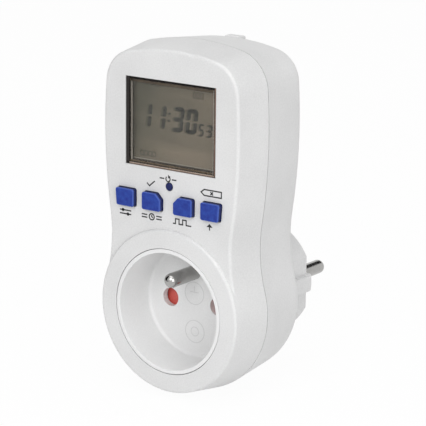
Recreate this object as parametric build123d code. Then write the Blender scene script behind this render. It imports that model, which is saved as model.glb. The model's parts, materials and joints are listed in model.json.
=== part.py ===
from build123d import *
import os
from math import cos, hypot, radians, sin, sqrt

os.makedirs("parts", exist_ok=True)

# Plug-in digital timer switch: a casing of two moulded shells with a display and four keys above,
# a mains socket with an earth pin below, and a round earthed plug behind the socket.
# Frame: the origin is the centre of the plug's engagement face, +Y leaves the plug into the wall,
# +Z is up and +X is to the right of a person who faces the display. Millimetres.
# Sketches are drawn in (x, height) with the height counted from the socket's axis.

# ---------------------------------------------------------------- driving dimensions
# Current pins and contacts
pin_pitch = 19.0  # between the two current pins
pin_diameter = 4.8
pin_length = 18.6
pin_tip_round = 1.9
pin_shank_radius = 2.0  # the pin inside the plug
pin_collar_radius = 3.4
pin_collar_thickness = 1.4
pin_collar_stand = 2.8  # the collar's back face behind the casing's back wall
pin_tail_radius = 1.5
earth_offset = 10.0  # earth pin above the line of the current pins
earth_diameter = 4.8
earth_hole_radius = 2.5
earth_hole_depth = 16.8

# Casing
shell_depth = 38.6  # socket rim plane to the casing's back plane
plug_reach = 17.9  # back plane to the engagement face
seam_depth = 14.7  # socket rim plane to the joint between the shells
rim_step = 1.0  # the disc round the socket stands this far over the front face
axis_rise = 0.7  # plug axis above the socket axis
wall = 2.2
low_radius = 28.9  # round the socket
waist_radius = 50.0
display_margin = 9.6  # casing on each side of the display glass
widest_height = 58.2
side_radius = 190.0
corner_radius = 13.0
top_radius = 81.0
crown_height = 86.55
front_draft = 8.0  # degrees
rear_draft = 5.5
front_round = 1.1
inner_round = 1.2
rear_round = 5.8
seam_gap = 0.3
lip_height = 1.8
lip_thickness = 0.95
lip_gap = 0.1
disc_round = 0.9
pocket_radius = 24.6  # room for the insert's flange behind the disc

# Plug body
plug_radius = 19.4
plug_flat = 17.3  # half width across the flats
plug_round = 3.0
plug_wall = 3.4
plug_face_wall = 3.0
rib_half_width = 19.4
rib_height = 5.2
rib_length = 11.5
groove_width = 7.4  # the channel of each side earth contact
groove_depth = 1.7
tube_wall = 1.6

# Socket insert
aperture_radius = 20.8
ring_gap = 0.2
ring_inner_radius = 19.3
recess_depth = 14.6
recess_floor_radius = 18.3
recess_floor_round = 1.2
insert_floor = 2.2
insert_wall = 1.5
flange_radius = 22.4
flange_thickness = 1.6
entry_radius = 3.1  # the two current holes
fit_gap = 0.05  # radial, round pins and shanks
post_radius = 2.2  # the shutter's pivot

# Shutter
shutter_gap = 0.25  # to its retainer
shutter_front_gap = 0.9  # to the socket's floor
shutter_thickness = 1.9
shutter_radius = 13.3
shutter_half_angle = 21.5
ramp_share = 0.6  # of the blade's thickness, at the ramp's low edge
hub_radius = 3.9
pivot_gap = 0.06
lug_offset = 5.4
lug_width = 2.0
spring_length = 7.2
spring_radius = 1.0
spring_wire = 0.2
spring_turns = 5
retainer_radius = 14.4
retainer_thickness = 1.4

# Contacts and earth
sheet = 0.8  # brass strip
jaw_sheet = 0.6
contact_width = 6.6
contact_height = 8.2
jaw_clearance = 0.6  # jaw tips to the shutter's retainer
jaw_opening = 5.1
jaw_lead = 1.8  # straight grip, and the flare in front of it
strap_width = 6.8
clip_bulge = 1.3
clip_sheet_gap = 0.1  # side contact to the floor of its channel
sleeve_radius = 3.3
carrier_radius = 18.8
carrier_thickness = 1.8
carrier_post_radius = 1.9
carrier_post_circle = 16.4
carrier_post_angle = 27.0  # degrees
tail_clearance = 0.2
tab_strip = 2.6  # width of the terminals that take a wire
tab_rise = 2.0  # a wire's axis over the edge of its contact
clip_start = 2.5  # side contact: straight run behind the casing's back plane
clip_ramp = 3.5
clip_end = 4.0

# Display
window_overlap = 1.05  # of the cover over each side of the glass
window_height = 28.5
window_middle = 60.5
collar_gap = 0.1
collar_wall = 0.7
collar_recess = 0.15
lens_recess = 0.3
lens_ledge = 0.5
lens_thickness = 1.3
glass_width = 37.4
glass_height = 31.0
glass_thickness = 2.6
glass_gap = 0.6
frame_wall = 1.1
board_gap = 3.1  # display glass to control board
connector_width = 2.2

# Keys
key_width = 7.2
key_height = 5.7
key_middle = 35.45
key_offset = 0.15  # the whole group sits this far left of the middle plane
key_inner_offset = 6.2
key_outer_offset = 16.85
key_slant = 0.45
key_chamfer = 1.9
key_corner = 0.7
key_edge = 0.35  # round of the cap's front edge
key_proud = 1.8
key_gap = 0.25
key_travel = 0.9
key_flange = 0.8
key_flange_thickness = 1.2
key_stem = 3.6
flange_clearance = 0.2
reset_radius = 1.2
reset_height = 41.0
reset_proud = 0.5
reset_travel = 0.6
mat_thickness = 1.0
mat_height = 12.4
mat_middle = 36.2
mat_half_width = 21.6
mat_corner = 2.0
dome_wall = 0.6

# Boards and what stands on them
board_thickness = 1.6
board_inset = 1.1
control_margin = 0.1  # board beside the heads of its upper screws
control_bottom = 25.4
control_top = 82.0
power_half_width = 20.4
power_bottom = 27.2
power_top = 74.4
power_standoff = 3.4
standoff_radius = 2.2
board_screw_radius = 1.0
board_screw_head = 1.9
board_screw_head_thickness = 1.2
board_screw_length = 5.0
pivot_screw_length = 3.2
lower_board_screw = (20.6, 27.6)
upper_board_screw_height = 71.0
frame_clearance = 0.55  # display holder to the standoffs beside it
power_screw_x = 17.5
power_screw_inset = 4.0
slot_width = 0.6  # cross recess of the screws
relay_width = 19.0
relay_tall = 15.6
relay_clearance = 4.3  # to the control board
relay_place = (10.2, 59.4)  # places are (x, height)
film_width = 8.0
film_tall = 17.0
film_clearance = 5.3
film_place = (-14.0, 59.4)
can_x = -4.6
can_neck = 1.5
can_clearance = 4.3
supply_height = 64.0
supply_radius = 5.0
filter_height = 52.0
filter_radius = 3.15
filter_clearance = 8.8
varistor_place = (-14.0, 44.0)
varistor_radius = 4.2
varistor_thickness = 3.6
lead_radius = 0.3
lead_bend = 0.8
resistor_place = (-7.0, 35.0)
resistor_radius = 1.6
resistor_length = 9.0
diode_place = (3.0, 45.0)
diode_radius = 1.25
diode_length = 5.0
diode_spacing = 3.4
diode_count = 4
transistor_place = (3.0, 36.0)
transistor_radius = 2.3
transistor_length = 4.8
header_place = (18.2, 41.0)
header_spacing = 2.54
header_pins = 6
header_strip = 2.5
header_pin = 0.64
chip_place = (-3.0, 62.0)
chip_radius = 5.4
chip_rise = 1.5
crystal_place = (8.0, 58.0)
crystal_radius = 1.0
crystal_length = 6.0
crystal_lead = 0.2
small_part = (2.0, 1.25, 0.6)  # width, height, thickness
small_place = (-2.0, 50.0)
small_pitch = (4.5, 4.0)
small_grid = (4, 2)
battery_place = (-12.0, 39.0)
battery_radius = 7.7
battery_thickness = 6.0
tab_width = 4.0
tab_thickness = 0.3
tab_overhang = 2.0

# Casing screws
upper_screw = (12.5, 80.2)
lower_screw = (17.0, -17.0)
case_screw_radius = 1.35
case_screw_head = 2.3
case_screw_head_thickness = 1.8
case_screw_length = 15.0
boss_radius = 2.7
boss_meet = 1.2  # behind the seam
head_well = 2.6
well_wall = 1.2
well_depth = 12.5  # head seat in front of the back plane

# Wires
wire_radius = 0.85
wire_bend = 2.2
live_wire_x = 11.4
live_wire_height = 6.6
load_wire_x = 7.6
riser_foot = 2.6  # where the wires enter the relay board, over its lower edge

# Small lug on the casing's rear top edge
lug_top_width = 6.0
lug_top_rise = 1.2
lug_top_drop = 2.8  # of its top below the crown's own height, before the rise
lug_top_length = 3.4

# ---------------------------------------------------------------- planes worked out from them
pin_x = pin_pitch / 2
half_width = glass_width / 2 + display_margin
pin_radius = pin_diameter / 2
earth_radius = earth_diameter / 2
rim_y = -(plug_reach + shell_depth)
face_y = rim_y + rim_step
seam_y = rim_y + seam_depth
back_y = -plug_reach
inner_front_y = face_y + wall
inner_back_y = back_y - wall
socket_z = -axis_rise
floor_y = rim_y + recess_depth
floor_back_y = floor_y + insert_floor
shutter_y = floor_back_y + shutter_front_gap
shutter_back_y = shutter_y + shutter_thickness
retainer_y = shutter_back_y + shutter_gap
retainer_back_y = retainer_y + retainer_thickness
carrier_y = inner_back_y - carrier_thickness
contact_y = carrier_y - sheet
plug_inner_y = -plug_face_wall
sleeve_end_y = plug_inner_y / 2
load_height = contact_height / 2 + tab_rise
jaw_reach = contact_y - retainer_back_y - jaw_clearance
collar_back_y = inner_back_y + pin_collar_stand
collar_y = collar_back_y - pin_collar_thickness
lug_back_y = retainer_y + 2 * (spring_radius + spring_wire)
spring_y = retainer_y + spring_radius + spring_wire
earth_shank_radius = earth_radius - 0.2
collar_front_y = face_y + collar_recess
lens_y = face_y + lens_recess
lens_back_y = lens_y + lens_thickness
window_width = glass_width - 2 * window_overlap
lens_width = window_width - 2 * (collar_gap + collar_wall)
lens_height = window_height - 2 * (collar_gap + collar_wall)
glass_y = inner_front_y + glass_gap
glass_back_y = glass_y + glass_thickness
board_y = glass_back_y + board_gap
board_back_y = board_y + board_thickness
power_back_y = inner_back_y - power_standoff
power_y = power_back_y - board_thickness
screw_seat_y = back_y - well_depth
boss_meet_y = seam_y + boss_meet
beside_display = glass_width / 2 + fit_gap + frame_wall + frame_clearance + standoff_radius
SIDES = (-1, 1)


def layer(y, height=socket_z):
    """Drawing plane across the object at one depth; its normal points at the user."""
    return Plane((0, y, height), x_dir=(1, 0, 0), z_dir=(0, -1, 0))


def slab(sketch, front, back):
    return extrude(layer(back) * sketch, amount=back - front)


def rod(x, height, radius, front, back):
    return slab(Pos(x, height) * Circle(radius), front, back)


def block(x, height, width, tall, front, back):
    return slab(Pos(x, height) * Rectangle(width, tall), front, back)


def write(name, shape):
    solids = shape.solids() if hasattr(shape, "solids") else shape
    body = solids[0] if len(solids) == 1 else Compound(children=list(solids))
    body.label = name
    export_step(body, f"parts/{name}.step")


# ---------------------------------------------------------------- the casing's outline
def meet(first, first_radius, second, second_radius, side):
    """The point on one side of the line between two centres, at a distance from each."""
    dx, dz = second[0] - first[0], second[1] - first[1]
    gap = hypot(dx, dz)
    along = (first_radius**2 - second_radius**2 + gap**2) / (2 * gap)
    off = side * sqrt(first_radius**2 - along**2)
    return (
        first[0] + (along * dx - off * dz) / gap,
        first[1] + (along * dz + off * dx) / gap,
    )


low_centre = (0.0, 0.0)
side_centre = (half_width - side_radius, widest_height)
top_centre = (0.0, crown_height - top_radius)
waist_centre = meet(low_centre, low_radius + waist_radius, side_centre, side_radius + waist_radius, -1)
corner_centre = meet(side_centre, side_radius - corner_radius, top_centre, top_radius - corner_radius, 1)


def towards(centre, radius, target):
    dx, dz = target[0] - centre[0], target[1] - centre[1]
    reach = hypot(dx, dz)
    return (centre[0] + radius * dx / reach, centre[1] + radius * dz / reach)


def outline(inset=0.0):
    """Bottle outline of tangent arcs, moved in by an inset: the arcs keep their centres."""
    low, waist = low_radius - inset, waist_radius + inset
    side, corner, top = side_radius - inset, corner_radius - inset, top_radius - inset
    neck = towards(low_centre, low, waist_centre)
    shoulder = towards(side_centre, side, waist_centre)
    corner_low = towards(corner_centre, corner, towards(side_centre, 2 * side, corner_centre))
    corner_high = towards(corner_centre, corner, towards(top_centre, 2 * top, corner_centre))
    middle = ((corner_low[0] + corner_high[0]) / 2, (corner_low[1] + corner_high[1]) / 2)
    chord = ((neck[0] + shoulder[0]) / 2, (neck[1] + shoulder[1]) / 2)
    flank = ((shoulder[0] + corner_low[0]) / 2, (shoulder[1] + corner_low[1]) / 2)

    def half(sign):
        def turn(point):
            return (sign * point[0], point[1])

        return [
            ThreePointArc(turn(neck), turn(towards(waist_centre, waist, chord)), turn(shoulder)),
            ThreePointArc(turn(shoulder), turn(towards(side_centre, side, flank)), turn(corner_low)),
            ThreePointArc(turn(corner_low), turn(towards(corner_centre, corner, middle)), turn(corner_high)),
        ]

    bottom = ThreePointArc((-neck[0], neck[1]), (0, -low), neck)
    crown = ThreePointArc(corner_high, (0, crown_height - inset), (-corner_high[0], corner_high[1]))
    return make_face([bottom, *half(1), crown, *half(-1)])


def forward_form(inset, front, rounding, back=seam_y):
    """The outline drafted from the seam towards the user, with its front edge rounded."""
    form = extrude(layer(back) * outline(inset), amount=back - front, taper=front_draft)
    rim = form.faces().sort_by(Axis.Y)[0].edges()
    return fillet(rim, rounding)


def rearward_form(inset, back, rounding):
    """The outline drafted from the seam towards the wall, with its back edge rounded."""
    plane = Plane((0, seam_y, socket_z), x_dir=(-1, 0, 0), z_dir=(0, 1, 0))
    form = extrude(plane * outline(inset), amount=back - seam_y, taper=rear_draft)
    rim = form.faces().sort_by(Axis.Y)[-1].edges()
    return fillet(rim, rounding)


def screw_places():
    return [(sign * x, height) for x, height in (upper_screw, lower_screw) for sign in SIDES]


def key_outline(sign, outer, growth=0.0):
    """One key from the front: the outer keys lean with the waist, the inner ones lose a corner."""
    half_w, half_h = key_width / 2 + growth, key_height / 2 + growth
    if outer:
        points = [(-half_w, half_h), (half_w, half_h), (half_w - key_slant, -half_h), (-half_w, -half_h)]
    else:
        cut = key_chamfer + growth / 2
        points = [
            (-half_w, half_h - cut),
            (cut - half_w, half_h),
            (half_w, half_h),
            (half_w, -half_h),
            (-half_w, -half_h),
        ]
    x = key_outer_offset if outer else key_inner_offset
    corners = [(sign * (x + px) - key_offset, key_middle + pz) for px, pz in points]
    face = make_face(Polyline(corners, close=True))
    return fillet(face.vertices(), key_corner + growth / 2)


def key_place(sign, outer):
    return sign * (key_outer_offset if outer else key_inner_offset) - key_offset


KEYS = {
    "key_far_left": (-1, True),
    "key_left": (-1, False),
    "key_right": (1, False),
    "key_far_right": (1, True),
}


# ---------------------------------------------------------------- casing
def make_front_cover():
    disc = extrude(layer(seam_y) * Circle(low_radius), amount=seam_depth, taper=front_draft)
    disc = fillet(disc.faces().sort_by(Axis.Y)[0].edges(), disc_round)
    shell = forward_form(0, face_y, front_round) + disc
    shell -= forward_form(wall, inner_front_y, inner_round)
    shell -= rod(0, 0, pocket_radius, rim_y + wall, inner_front_y)
    lip = slab(outline(wall - lip_thickness), seam_y - seam_gap / 2, seam_y + lip_height)
    lip -= slab(outline(wall), seam_y - wall, seam_y + lip_height)
    shell = shell - slab(outline(-wall), seam_y - seam_gap / 2, seam_y + wall) + lip
    for x, height in screw_places():
        shell += rod(x, height, boss_radius, rim_y + wall - seam_gap, boss_meet_y)
    shell -= rod(0, 0, aperture_radius, rim_y, inner_front_y)
    shell -= block(0, window_middle, window_width, window_height, face_y, inner_front_y)
    for sign, outer in KEYS.values():
        shell -= slab(key_outline(sign, outer, key_gap), face_y, inner_front_y)
    shell -= rod(-key_offset, reset_height, reset_radius + key_gap, face_y, inner_front_y)
    for x, height in control_screws():
        shell += rod(x, height, standoff_radius, inner_front_y - wall / 2, board_y)
        shell -= rod(x, height, board_screw_radius, inner_front_y + wall, board_y)
    for x, height in screw_places():
        shell -= rod(x, height, case_screw_radius, inner_front_y + wall, boss_meet_y)
    return shell


def control_screws():
    """Two under the keys and two beside the display holder."""
    places = (lower_board_screw, (beside_display, upper_board_screw_height))
    return [(sign * x, height) for x, height in places for sign in SIDES]


def power_screws():
    heights = (power_bottom + power_screw_inset, power_top - power_screw_inset)
    return [(sign * power_screw_x, height) for height in heights for sign in SIDES]


def plug_section(inset=0.0):
    radius = plug_radius - inset
    section = Circle(radius) & Rectangle(2 * (plug_flat - inset), 2 * radius)
    return Pos(0, axis_rise) * section


def rounded_bar(half_width, tall, front):
    """Bar across the plug whose two end edges at the engagement face are rounded."""
    bar = block(0, axis_rise, 2 * half_width, tall, front, 0)
    ends = bar.faces().sort_by(Axis.Y)[-1].edges().filter_by(Axis.Z)
    return fillet(ends, plug_round)


def make_plug_body():
    """Round plug with two flats and a key rib on each flat."""
    round_body = rod(0, axis_rise, plug_radius, back_y - wall, 0)
    round_body = fillet(round_body.faces().sort_by(Axis.Y)[-1].edges(), plug_round)
    body = rounded_bar(plug_flat, 3 * plug_radius, back_y - wall)
    body += rounded_bar(rib_half_width, rib_height, -rib_length)
    return body & round_body


def make_rear_cover():
    plug = make_plug_body()
    shell = rearward_form(0, back_y, rear_round) + plug
    lug = make_top_lug()
    shell += lug
    shell -= rearward_form(wall, inner_back_y, rear_round - wall)
    shell -= slab(outline(-wall), seam_y - wall, seam_y + seam_gap / 2)
    shell -= slab(plug_section(plug_wall), inner_back_y - wall, plug_inner_y)
    for sign in SIDES:
        shell += rod(sign * pin_x, axis_rise, pin_shank_radius + tube_wall, collar_back_y, plug_inner_y)
    earth_height = axis_rise + earth_offset
    shell += rod(0, earth_height, sleeve_radius + tube_wall, collar_back_y, plug_inner_y)
    for x, height in screw_places():
        shell += rod(x, height, head_well + well_wall, screw_seat_y - well_wall, inner_back_y + wall / 2)
        shell += rod(x, height, boss_radius, boss_meet_y, screw_seat_y)
    for x, height in power_screws():
        shell += rod(x, height, standoff_radius, power_back_y, inner_back_y + wall / 2)
    shell &= rearward_form(0, back_y, rear_round) + plug + lug
    rebate = outline(wall - lip_thickness - lip_gap) - outline(wall + 2 * lip_gap)
    shell -= slab(rebate, seam_y, seam_y + lip_height + lip_gap)
    for sign in SIDES:
        shell -= rod(sign * pin_x, axis_rise, pin_shank_radius + fit_gap, collar_back_y, 0)
        shell -= rod(sign * pin_x, axis_rise, pin_radius + 4 * fit_gap, -pin_tip_round / 4, 0)
        shell -= groove(sign)
    shell -= rod(0, earth_height, sleeve_radius + fit_gap, collar_back_y, sleeve_end_y)
    shell -= rod(0, earth_height, earth_hole_radius + fit_gap, plug_inner_y, 0)
    for x, height in screw_places():
        shell -= rod(x, height, case_screw_radius + 4 * fit_gap, boss_meet_y, screw_seat_y)
        shell -= rod(x, height, head_well, screw_seat_y, back_y)
    for x, height in power_screws():
        shell -= rod(x, height, board_screw_radius, power_back_y, inner_back_y)
    return shell


def make_top_lug():
    """Small lug on the rounded rear edge of the crown, a stop for the cover's assembly jig."""
    middle_y = back_y - rear_round / 2
    lug = block(
        0,
        crown_height - rear_round / 2,
        lug_top_width,
        rear_round + 2 * (lug_top_rise - lug_top_drop),
        middle_y - lug_top_length / 2,
        middle_y + lug_top_length / 2,
    )
    return fillet(lug.faces().sort_by(Axis.Z)[-1].edges(), lug_top_rise / 2)


def groove(sign):
    """Channel for one side earth contact, open to the inside of the casing."""
    middle = axis_rise + sign * plug_radius
    return block(0, middle, groove_width, 2 * groove_depth, inner_back_y, -plug_round)


# ---------------------------------------------------------------- socket
def make_socket_insert():
    """Cup with a lip ring, a flange behind the cover, a floor with three holes and a pivot post."""
    ring_radius = aperture_radius - ring_gap
    seat_y = rim_y + wall
    profile = Polyline(
        (0, floor_y),
        (recess_floor_radius, floor_y),
        (ring_inner_radius, rim_y),
        (ring_radius, rim_y),
        (ring_radius, seat_y),
        (flange_radius, seat_y),
        (flange_radius, seat_y + flange_thickness),
        (ring_inner_radius + insert_wall, seat_y + flange_thickness),
        (recess_floor_radius + insert_wall, floor_back_y),
        (0, floor_back_y),
        close=True,
    )
    face = make_face(profile)
    corner = face.vertices().sort_by_distance((recess_floor_radius, floor_y))[0]
    face = fillet(corner, recess_floor_round)
    lip_edges = face.vertices().filter_by(lambda v: abs(v.Y - rim_y) < fit_gap)
    face = fillet(lip_edges, ring_gap)
    spin_plane = Plane((0, 0, socket_z), x_dir=(1, 0, 0), z_dir=(0, 0, 1))
    insert = revolve(spin_plane * face, axis=Axis((0, 0, socket_z), (0, 1, 0)))
    insert += rod(0, 0, post_radius, floor_back_y, retainer_y)
    for sign in SIDES:
        insert -= rod(sign * pin_x, 0, entry_radius, floor_y, floor_back_y)
    insert -= rod(0, earth_offset, earth_shank_radius + fit_gap, floor_y, floor_back_y)
    insert -= rod(0, 0, board_screw_radius, floor_back_y, retainer_y)
    for x, height in screw_places():
        insert -= rod(x, height, boss_radius + seam_gap, rim_y + wall, floor_back_y)
    return insert


def turned(shape, degrees):
    """A copy turned about the socket's axis."""
    return shape.rotate(Axis((0, 0, socket_z), (0, 1, 0)), degrees)


def make_shutter():
    """Two-blade shutter on a hub; each blade has a ramp that the entering pin pushes aside."""
    reach = 2 * shutter_radius
    rise = reach * sin(radians(shutter_half_angle)) / cos(radians(shutter_half_angle))
    blades = make_face(Polyline((0, 0), (reach, -rise), (reach, rise), close=True))
    blades += make_face(Polyline((0, 0), (-reach, rise), (-reach, -rise), close=True))
    section = (Circle(shutter_radius) & blades) + Circle(hub_radius)
    shutter = slab(section, shutter_y, shutter_back_y)
    low, high = -shutter_radius / 2, shutter_radius / 3
    deep = shutter_y + ramp_share * shutter_thickness
    section = make_face(Polyline((shutter_y, high), (shutter_y, low), (deep, low), close=True))
    ramp = Plane((hub_radius, 0, socket_z), x_dir=(0, 1, 0), z_dir=(1, 0, 0)) * section
    wedge = extrude(ramp, amount=shutter_radius)
    shutter = shutter - wedge - turned(wedge, 180)
    shutter += block(-lug_offset, 0, lug_width, lug_width, shutter_back_y, lug_back_y)
    shutter -= rod(0, 0, post_radius + pivot_gap, shutter_y, shutter_back_y)
    return shutter


def make_shutter_spring():
    """Compression spring between the shutter's lug and the shelf on the retainer."""
    coil = spring_length - 2 * spring_wire
    bottom = (-lug_offset, spring_y, socket_z - lug_width / 2 - spring_length + spring_wire)
    path = Helix(pitch=coil / spring_turns, height=coil, radius=spring_radius, center=bottom)
    return sweep(Plane(origin=path @ 0, z_dir=path % 0) * Circle(spring_wire), path=path)


def make_shutter_retainer():
    plate = rod(0, 0, retainer_radius, retainer_y, retainer_back_y)
    for sign in SIDES:
        plate -= rod(sign * pin_x, 0, entry_radius, retainer_y, retainer_back_y)
    plate -= rod(0, earth_offset, earth_shank_radius + ring_gap, retainer_y, retainer_back_y)
    plate -= rod(0, 0, board_screw_radius + fit_gap, retainer_y, retainer_back_y)
    top = lug_width / 2 + ring_gap
    bottom = -lug_width / 2 - spring_length
    plate -= block(-lug_offset, (top + bottom) / 2, 2 * lug_width, top - bottom, retainer_y, retainer_back_y)
    slot_end = post_radius + lug_width / 2
    plate -= block(-slot_end, -lug_offset / 2, lug_width, lug_offset, retainer_y, retainer_back_y)
    shelf_height = bottom - jaw_sheet
    plate += block(-lug_offset, shelf_height, 2 * lug_width, 2 * jaw_sheet, retainer_y, lug_back_y)
    return plate


def screw(x, height, radius, head_radius, head_thickness, length, seat_y):
    """Pan-head screw whose head sits behind seat_y and whose shank points at the user."""
    head = rod(x, height, head_radius, seat_y, seat_y + head_thickness)
    head = fillet(head.faces().sort_by(Axis.Y)[-1].edges(), head_thickness / 3)
    cross = block(x, height, head_radius, slot_width, seat_y + head_thickness / 2, seat_y + head_thickness)
    cross += block(x, height, slot_width, head_radius, seat_y + head_thickness / 2, seat_y + head_thickness)
    return head - cross + rod(x, height, radius - fit_gap, seat_y - length, seat_y)


# ---------------------------------------------------------------- contacts, pins and earth
def strip(points, thickness, width, x):
    """Sheet-metal strip of one width that follows a bent line in depth and height."""
    left, right = [], []
    for index, point in enumerate(points):
        before = points[max(index - 1, 0)]
        after = points[min(index + 1, len(points) - 1)]
        normals = []
        for start, end in ((before, point), (point, after)):
            run = hypot(end[0] - start[0], end[1] - start[1])
            if run:
                normals.append((-(end[1] - start[1]) / run, (end[0] - start[0]) / run))
        nx = sum(n[0] for n in normals) / len(normals)
        nz = sum(n[1] for n in normals) / len(normals)
        scale = thickness / 2 / (nx * nx + nz * nz)
        left.append((point[0] + nx * scale, point[1] + nz * scale))
        right.append((point[0] - nx * scale, point[1] - nz * scale))
    plane = Plane((x - width / 2, 0, socket_z), x_dir=(0, 1, 0), z_dir=(1, 0, 0))
    return extrude(plane * make_face(Polyline(*left, *reversed(right), close=True)), amount=width)


def make_contact(sign):
    """Socket contact: a foot on the carrier and two sprung jaws that grip a current pin."""
    x = sign * pin_x
    foot = block(x, 0, contact_width, contact_height, contact_y, carrier_y)
    root = contact_height / 2 - jaw_sheet / 2
    grip = jaw_opening / 2 + jaw_sheet / 2
    for side in SIDES:
        line = [
            (contact_y + sheet / 2, side * root),
            (contact_y - jaw_reach / 2, side * root),
            (contact_y - jaw_reach + 2 * jaw_lead, side * grip),
            (contact_y - jaw_reach + jaw_lead, side * grip),
            (contact_y - jaw_reach, side * (root - jaw_sheet / 2)),
        ]
        foot += strip(line, jaw_sheet, contact_width, x)
    return foot + block(sign * load_wire_x, load_height, tab_strip, 2 * tab_rise, contact_y, carrier_y)


def make_neutral_contact():
    return make_contact(-1) - rod(-pin_x, axis_rise, pin_tail_radius + fit_gap, contact_y, carrier_y)


def make_plug_pin(sign, tail_front):
    """Round pin with a collar behind the plug's face and a riveted tail."""
    x = sign * pin_x
    pin = rod(x, axis_rise, pin_radius, 0, pin_length)
    pin = fillet(pin.faces().sort_by(Axis.Y)[-1].edges(), pin_tip_round)
    pin += rod(x, axis_rise, pin_shank_radius, collar_back_y, 0)
    pin += rod(x, axis_rise, pin_collar_radius, collar_y, collar_back_y)
    return pin + rod(x, axis_rise, pin_tail_radius, tail_front, collar_y)


def make_live_tab():
    """Terminal riveted on the live pin's tail; the wire to the relay board starts on its arm."""
    front = collar_y - sheet
    tab = rod(pin_x, axis_rise, pin_collar_radius, front, collar_y)
    arm_tall = live_wire_height + tab_strip
    tab += block(live_wire_x, (axis_rise + live_wire_height) / 2, tab_strip, arm_tall, front, collar_y)
    return tab - rod(pin_x, axis_rise, pin_tail_radius + fit_gap, front, collar_y)


def make_earth_pin():
    """Round-nosed earth pin: it stands on the recess floor and is riveted to the strap."""
    pin = rod(0, earth_offset, earth_radius, rim_y, floor_y)
    pin = fillet(pin.faces().sort_by(Axis.Y)[0].edges(), earth_radius - fit_gap)
    pin += rod(0, earth_offset, earth_shank_radius, floor_y, contact_y)
    return pin + rod(0, earth_offset, pin_tail_radius, contact_y, carrier_y + sheet)


def make_earth_strap():
    """One U-shaped strip: a bridge across the carrier and a sprung side contact in each channel."""
    leg = plug_radius - groove_depth + clip_sheet_gap + sheet / 2
    tip_y = -plug_round - 4 * clip_sheet_gap
    strap = block(0, axis_rise, strap_width, 2 * leg + sheet, contact_y, carrier_y)
    for side in SIDES:
        line = [
            (contact_y + sheet / 2, axis_rise + side * leg),
            (back_y + clip_start, axis_rise + side * leg),
            (back_y + clip_start + clip_ramp, axis_rise + side * (leg + clip_bulge)),
            (tip_y - clip_end, axis_rise + side * (leg + clip_bulge)),
            (tip_y, axis_rise + side * leg),
        ]
        strap += strip(line, sheet, strap_width, 0)
    return strap - rod(0, earth_offset, pin_tail_radius + fit_gap, contact_y, carrier_y)


def make_earth_sleeve():
    """Socket for the wall outlet's own earth pin: solid foot on the strap, bore at the plug's face."""
    height = axis_rise + earth_offset
    sleeve = rod(0, height, sleeve_radius, carrier_y, sleeve_end_y)
    sleeve -= rod(0, height, earth_hole_radius, sleeve_end_y - earth_hole_depth, sleeve_end_y)
    return sleeve - rod(0, earth_offset, pin_tail_radius + tail_clearance, carrier_y, carrier_y + 2 * sheet)


def make_contact_carrier():
    """Insulating disc on the casing's back wall; its four posts clamp the socket insert."""
    carrier = rod(0, 0, carrier_radius, carrier_y, inner_back_y)
    for side in SIDES:
        notch = axis_rise + side * (plug_radius + groove_depth)
        carrier -= block(0, notch, groove_width, 4 * groove_depth, carrier_y, inner_back_y)
        carrier -= rod(side * pin_x, axis_rise, pin_tail_radius + tail_clearance, carrier_y, inner_back_y)
        for end in SIDES:
            x = side * carrier_post_circle * cos(radians(carrier_post_angle))
            height = end * carrier_post_circle * sin(radians(carrier_post_angle))
            carrier += rod(x, height, carrier_post_radius, floor_back_y, carrier_y)
    carrier -= rod(0, axis_rise + earth_offset, sleeve_radius + tail_clearance, carrier_y, inner_back_y)
    return carrier - rod(live_wire_x, live_wire_height, wire_radius + tail_clearance, carrier_y, inner_back_y)


# ---------------------------------------------------------------- display
def make_lcd_frame():
    """Dark holder: a collar that lines the window, a ledge for the lens, a pocket for the glass."""
    outer_w, outer_h = window_width - 2 * collar_gap, window_height - 2 * collar_gap
    body_w = glass_width + 2 * (fit_gap + frame_wall)
    body_h = glass_height + 2 * (fit_gap + frame_wall)
    frame = block(0, window_middle, body_w, body_h, inner_front_y, board_y)
    frame += block(0, window_middle, outer_w, outer_h, collar_front_y, inner_front_y)
    frame -= block(0, window_middle, lens_width, lens_height, collar_front_y, lens_back_y)
    ledge_w, ledge_h = lens_width - 2 * lens_ledge, lens_height - 2 * lens_ledge
    frame -= block(0, window_middle, ledge_w, ledge_h, lens_back_y, glass_y)
    pocket_w, pocket_h = glass_width + 2 * fit_gap, glass_height + 2 * fit_gap
    return frame - block(0, window_middle, pocket_w, pocket_h, glass_y, board_y)


def make_display_window():
    lens = block(0, window_middle, lens_width - fit_gap, lens_height - fit_gap, lens_y, lens_back_y)
    return fillet(lens.faces().sort_by(Axis.Y)[0].edges(), 2 * fit_gap)


def make_lcd_panel():
    """Two bonded glass sheets; the rear one is taller and carries the contacts along its edges."""
    front_h = glass_height - 2 * connector_width
    bond_y = glass_y + glass_thickness / 2
    panel = block(0, window_middle, glass_width, front_h, glass_y, bond_y)
    return panel + block(0, window_middle, glass_width, glass_height, bond_y, glass_back_y)


def make_lcd_connectors():
    """Rubber contact strips pressed between the glass and the board."""
    reach = glass_height / 2 - connector_width / 2
    long = glass_width - connector_width
    return [
        block(0, window_middle + side * reach, long, connector_width, glass_back_y, board_y)
        for side in SIDES
    ]


# ---------------------------------------------------------------- keys
def make_key(sign, outer):
    """Silicone key: domed cap, retaining flange behind the cover and a stem over the board."""
    front, flange_y = face_y - key_proud, inner_front_y + flange_clearance
    cap = slab(key_outline(sign, outer), front, flange_y)
    cap = fillet(cap.faces().sort_by(Axis.Y)[0].edges(), key_edge)
    key = cap + slab(key_outline(sign, outer, key_flange), flange_y, flange_y + key_flange_thickness)
    x = key_place(sign, outer)
    stem_end = board_y - key_travel - fit_gap
    return key + block(x, key_middle, key_stem, key_stem, flange_y + key_flange_thickness, stem_end)


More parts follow.
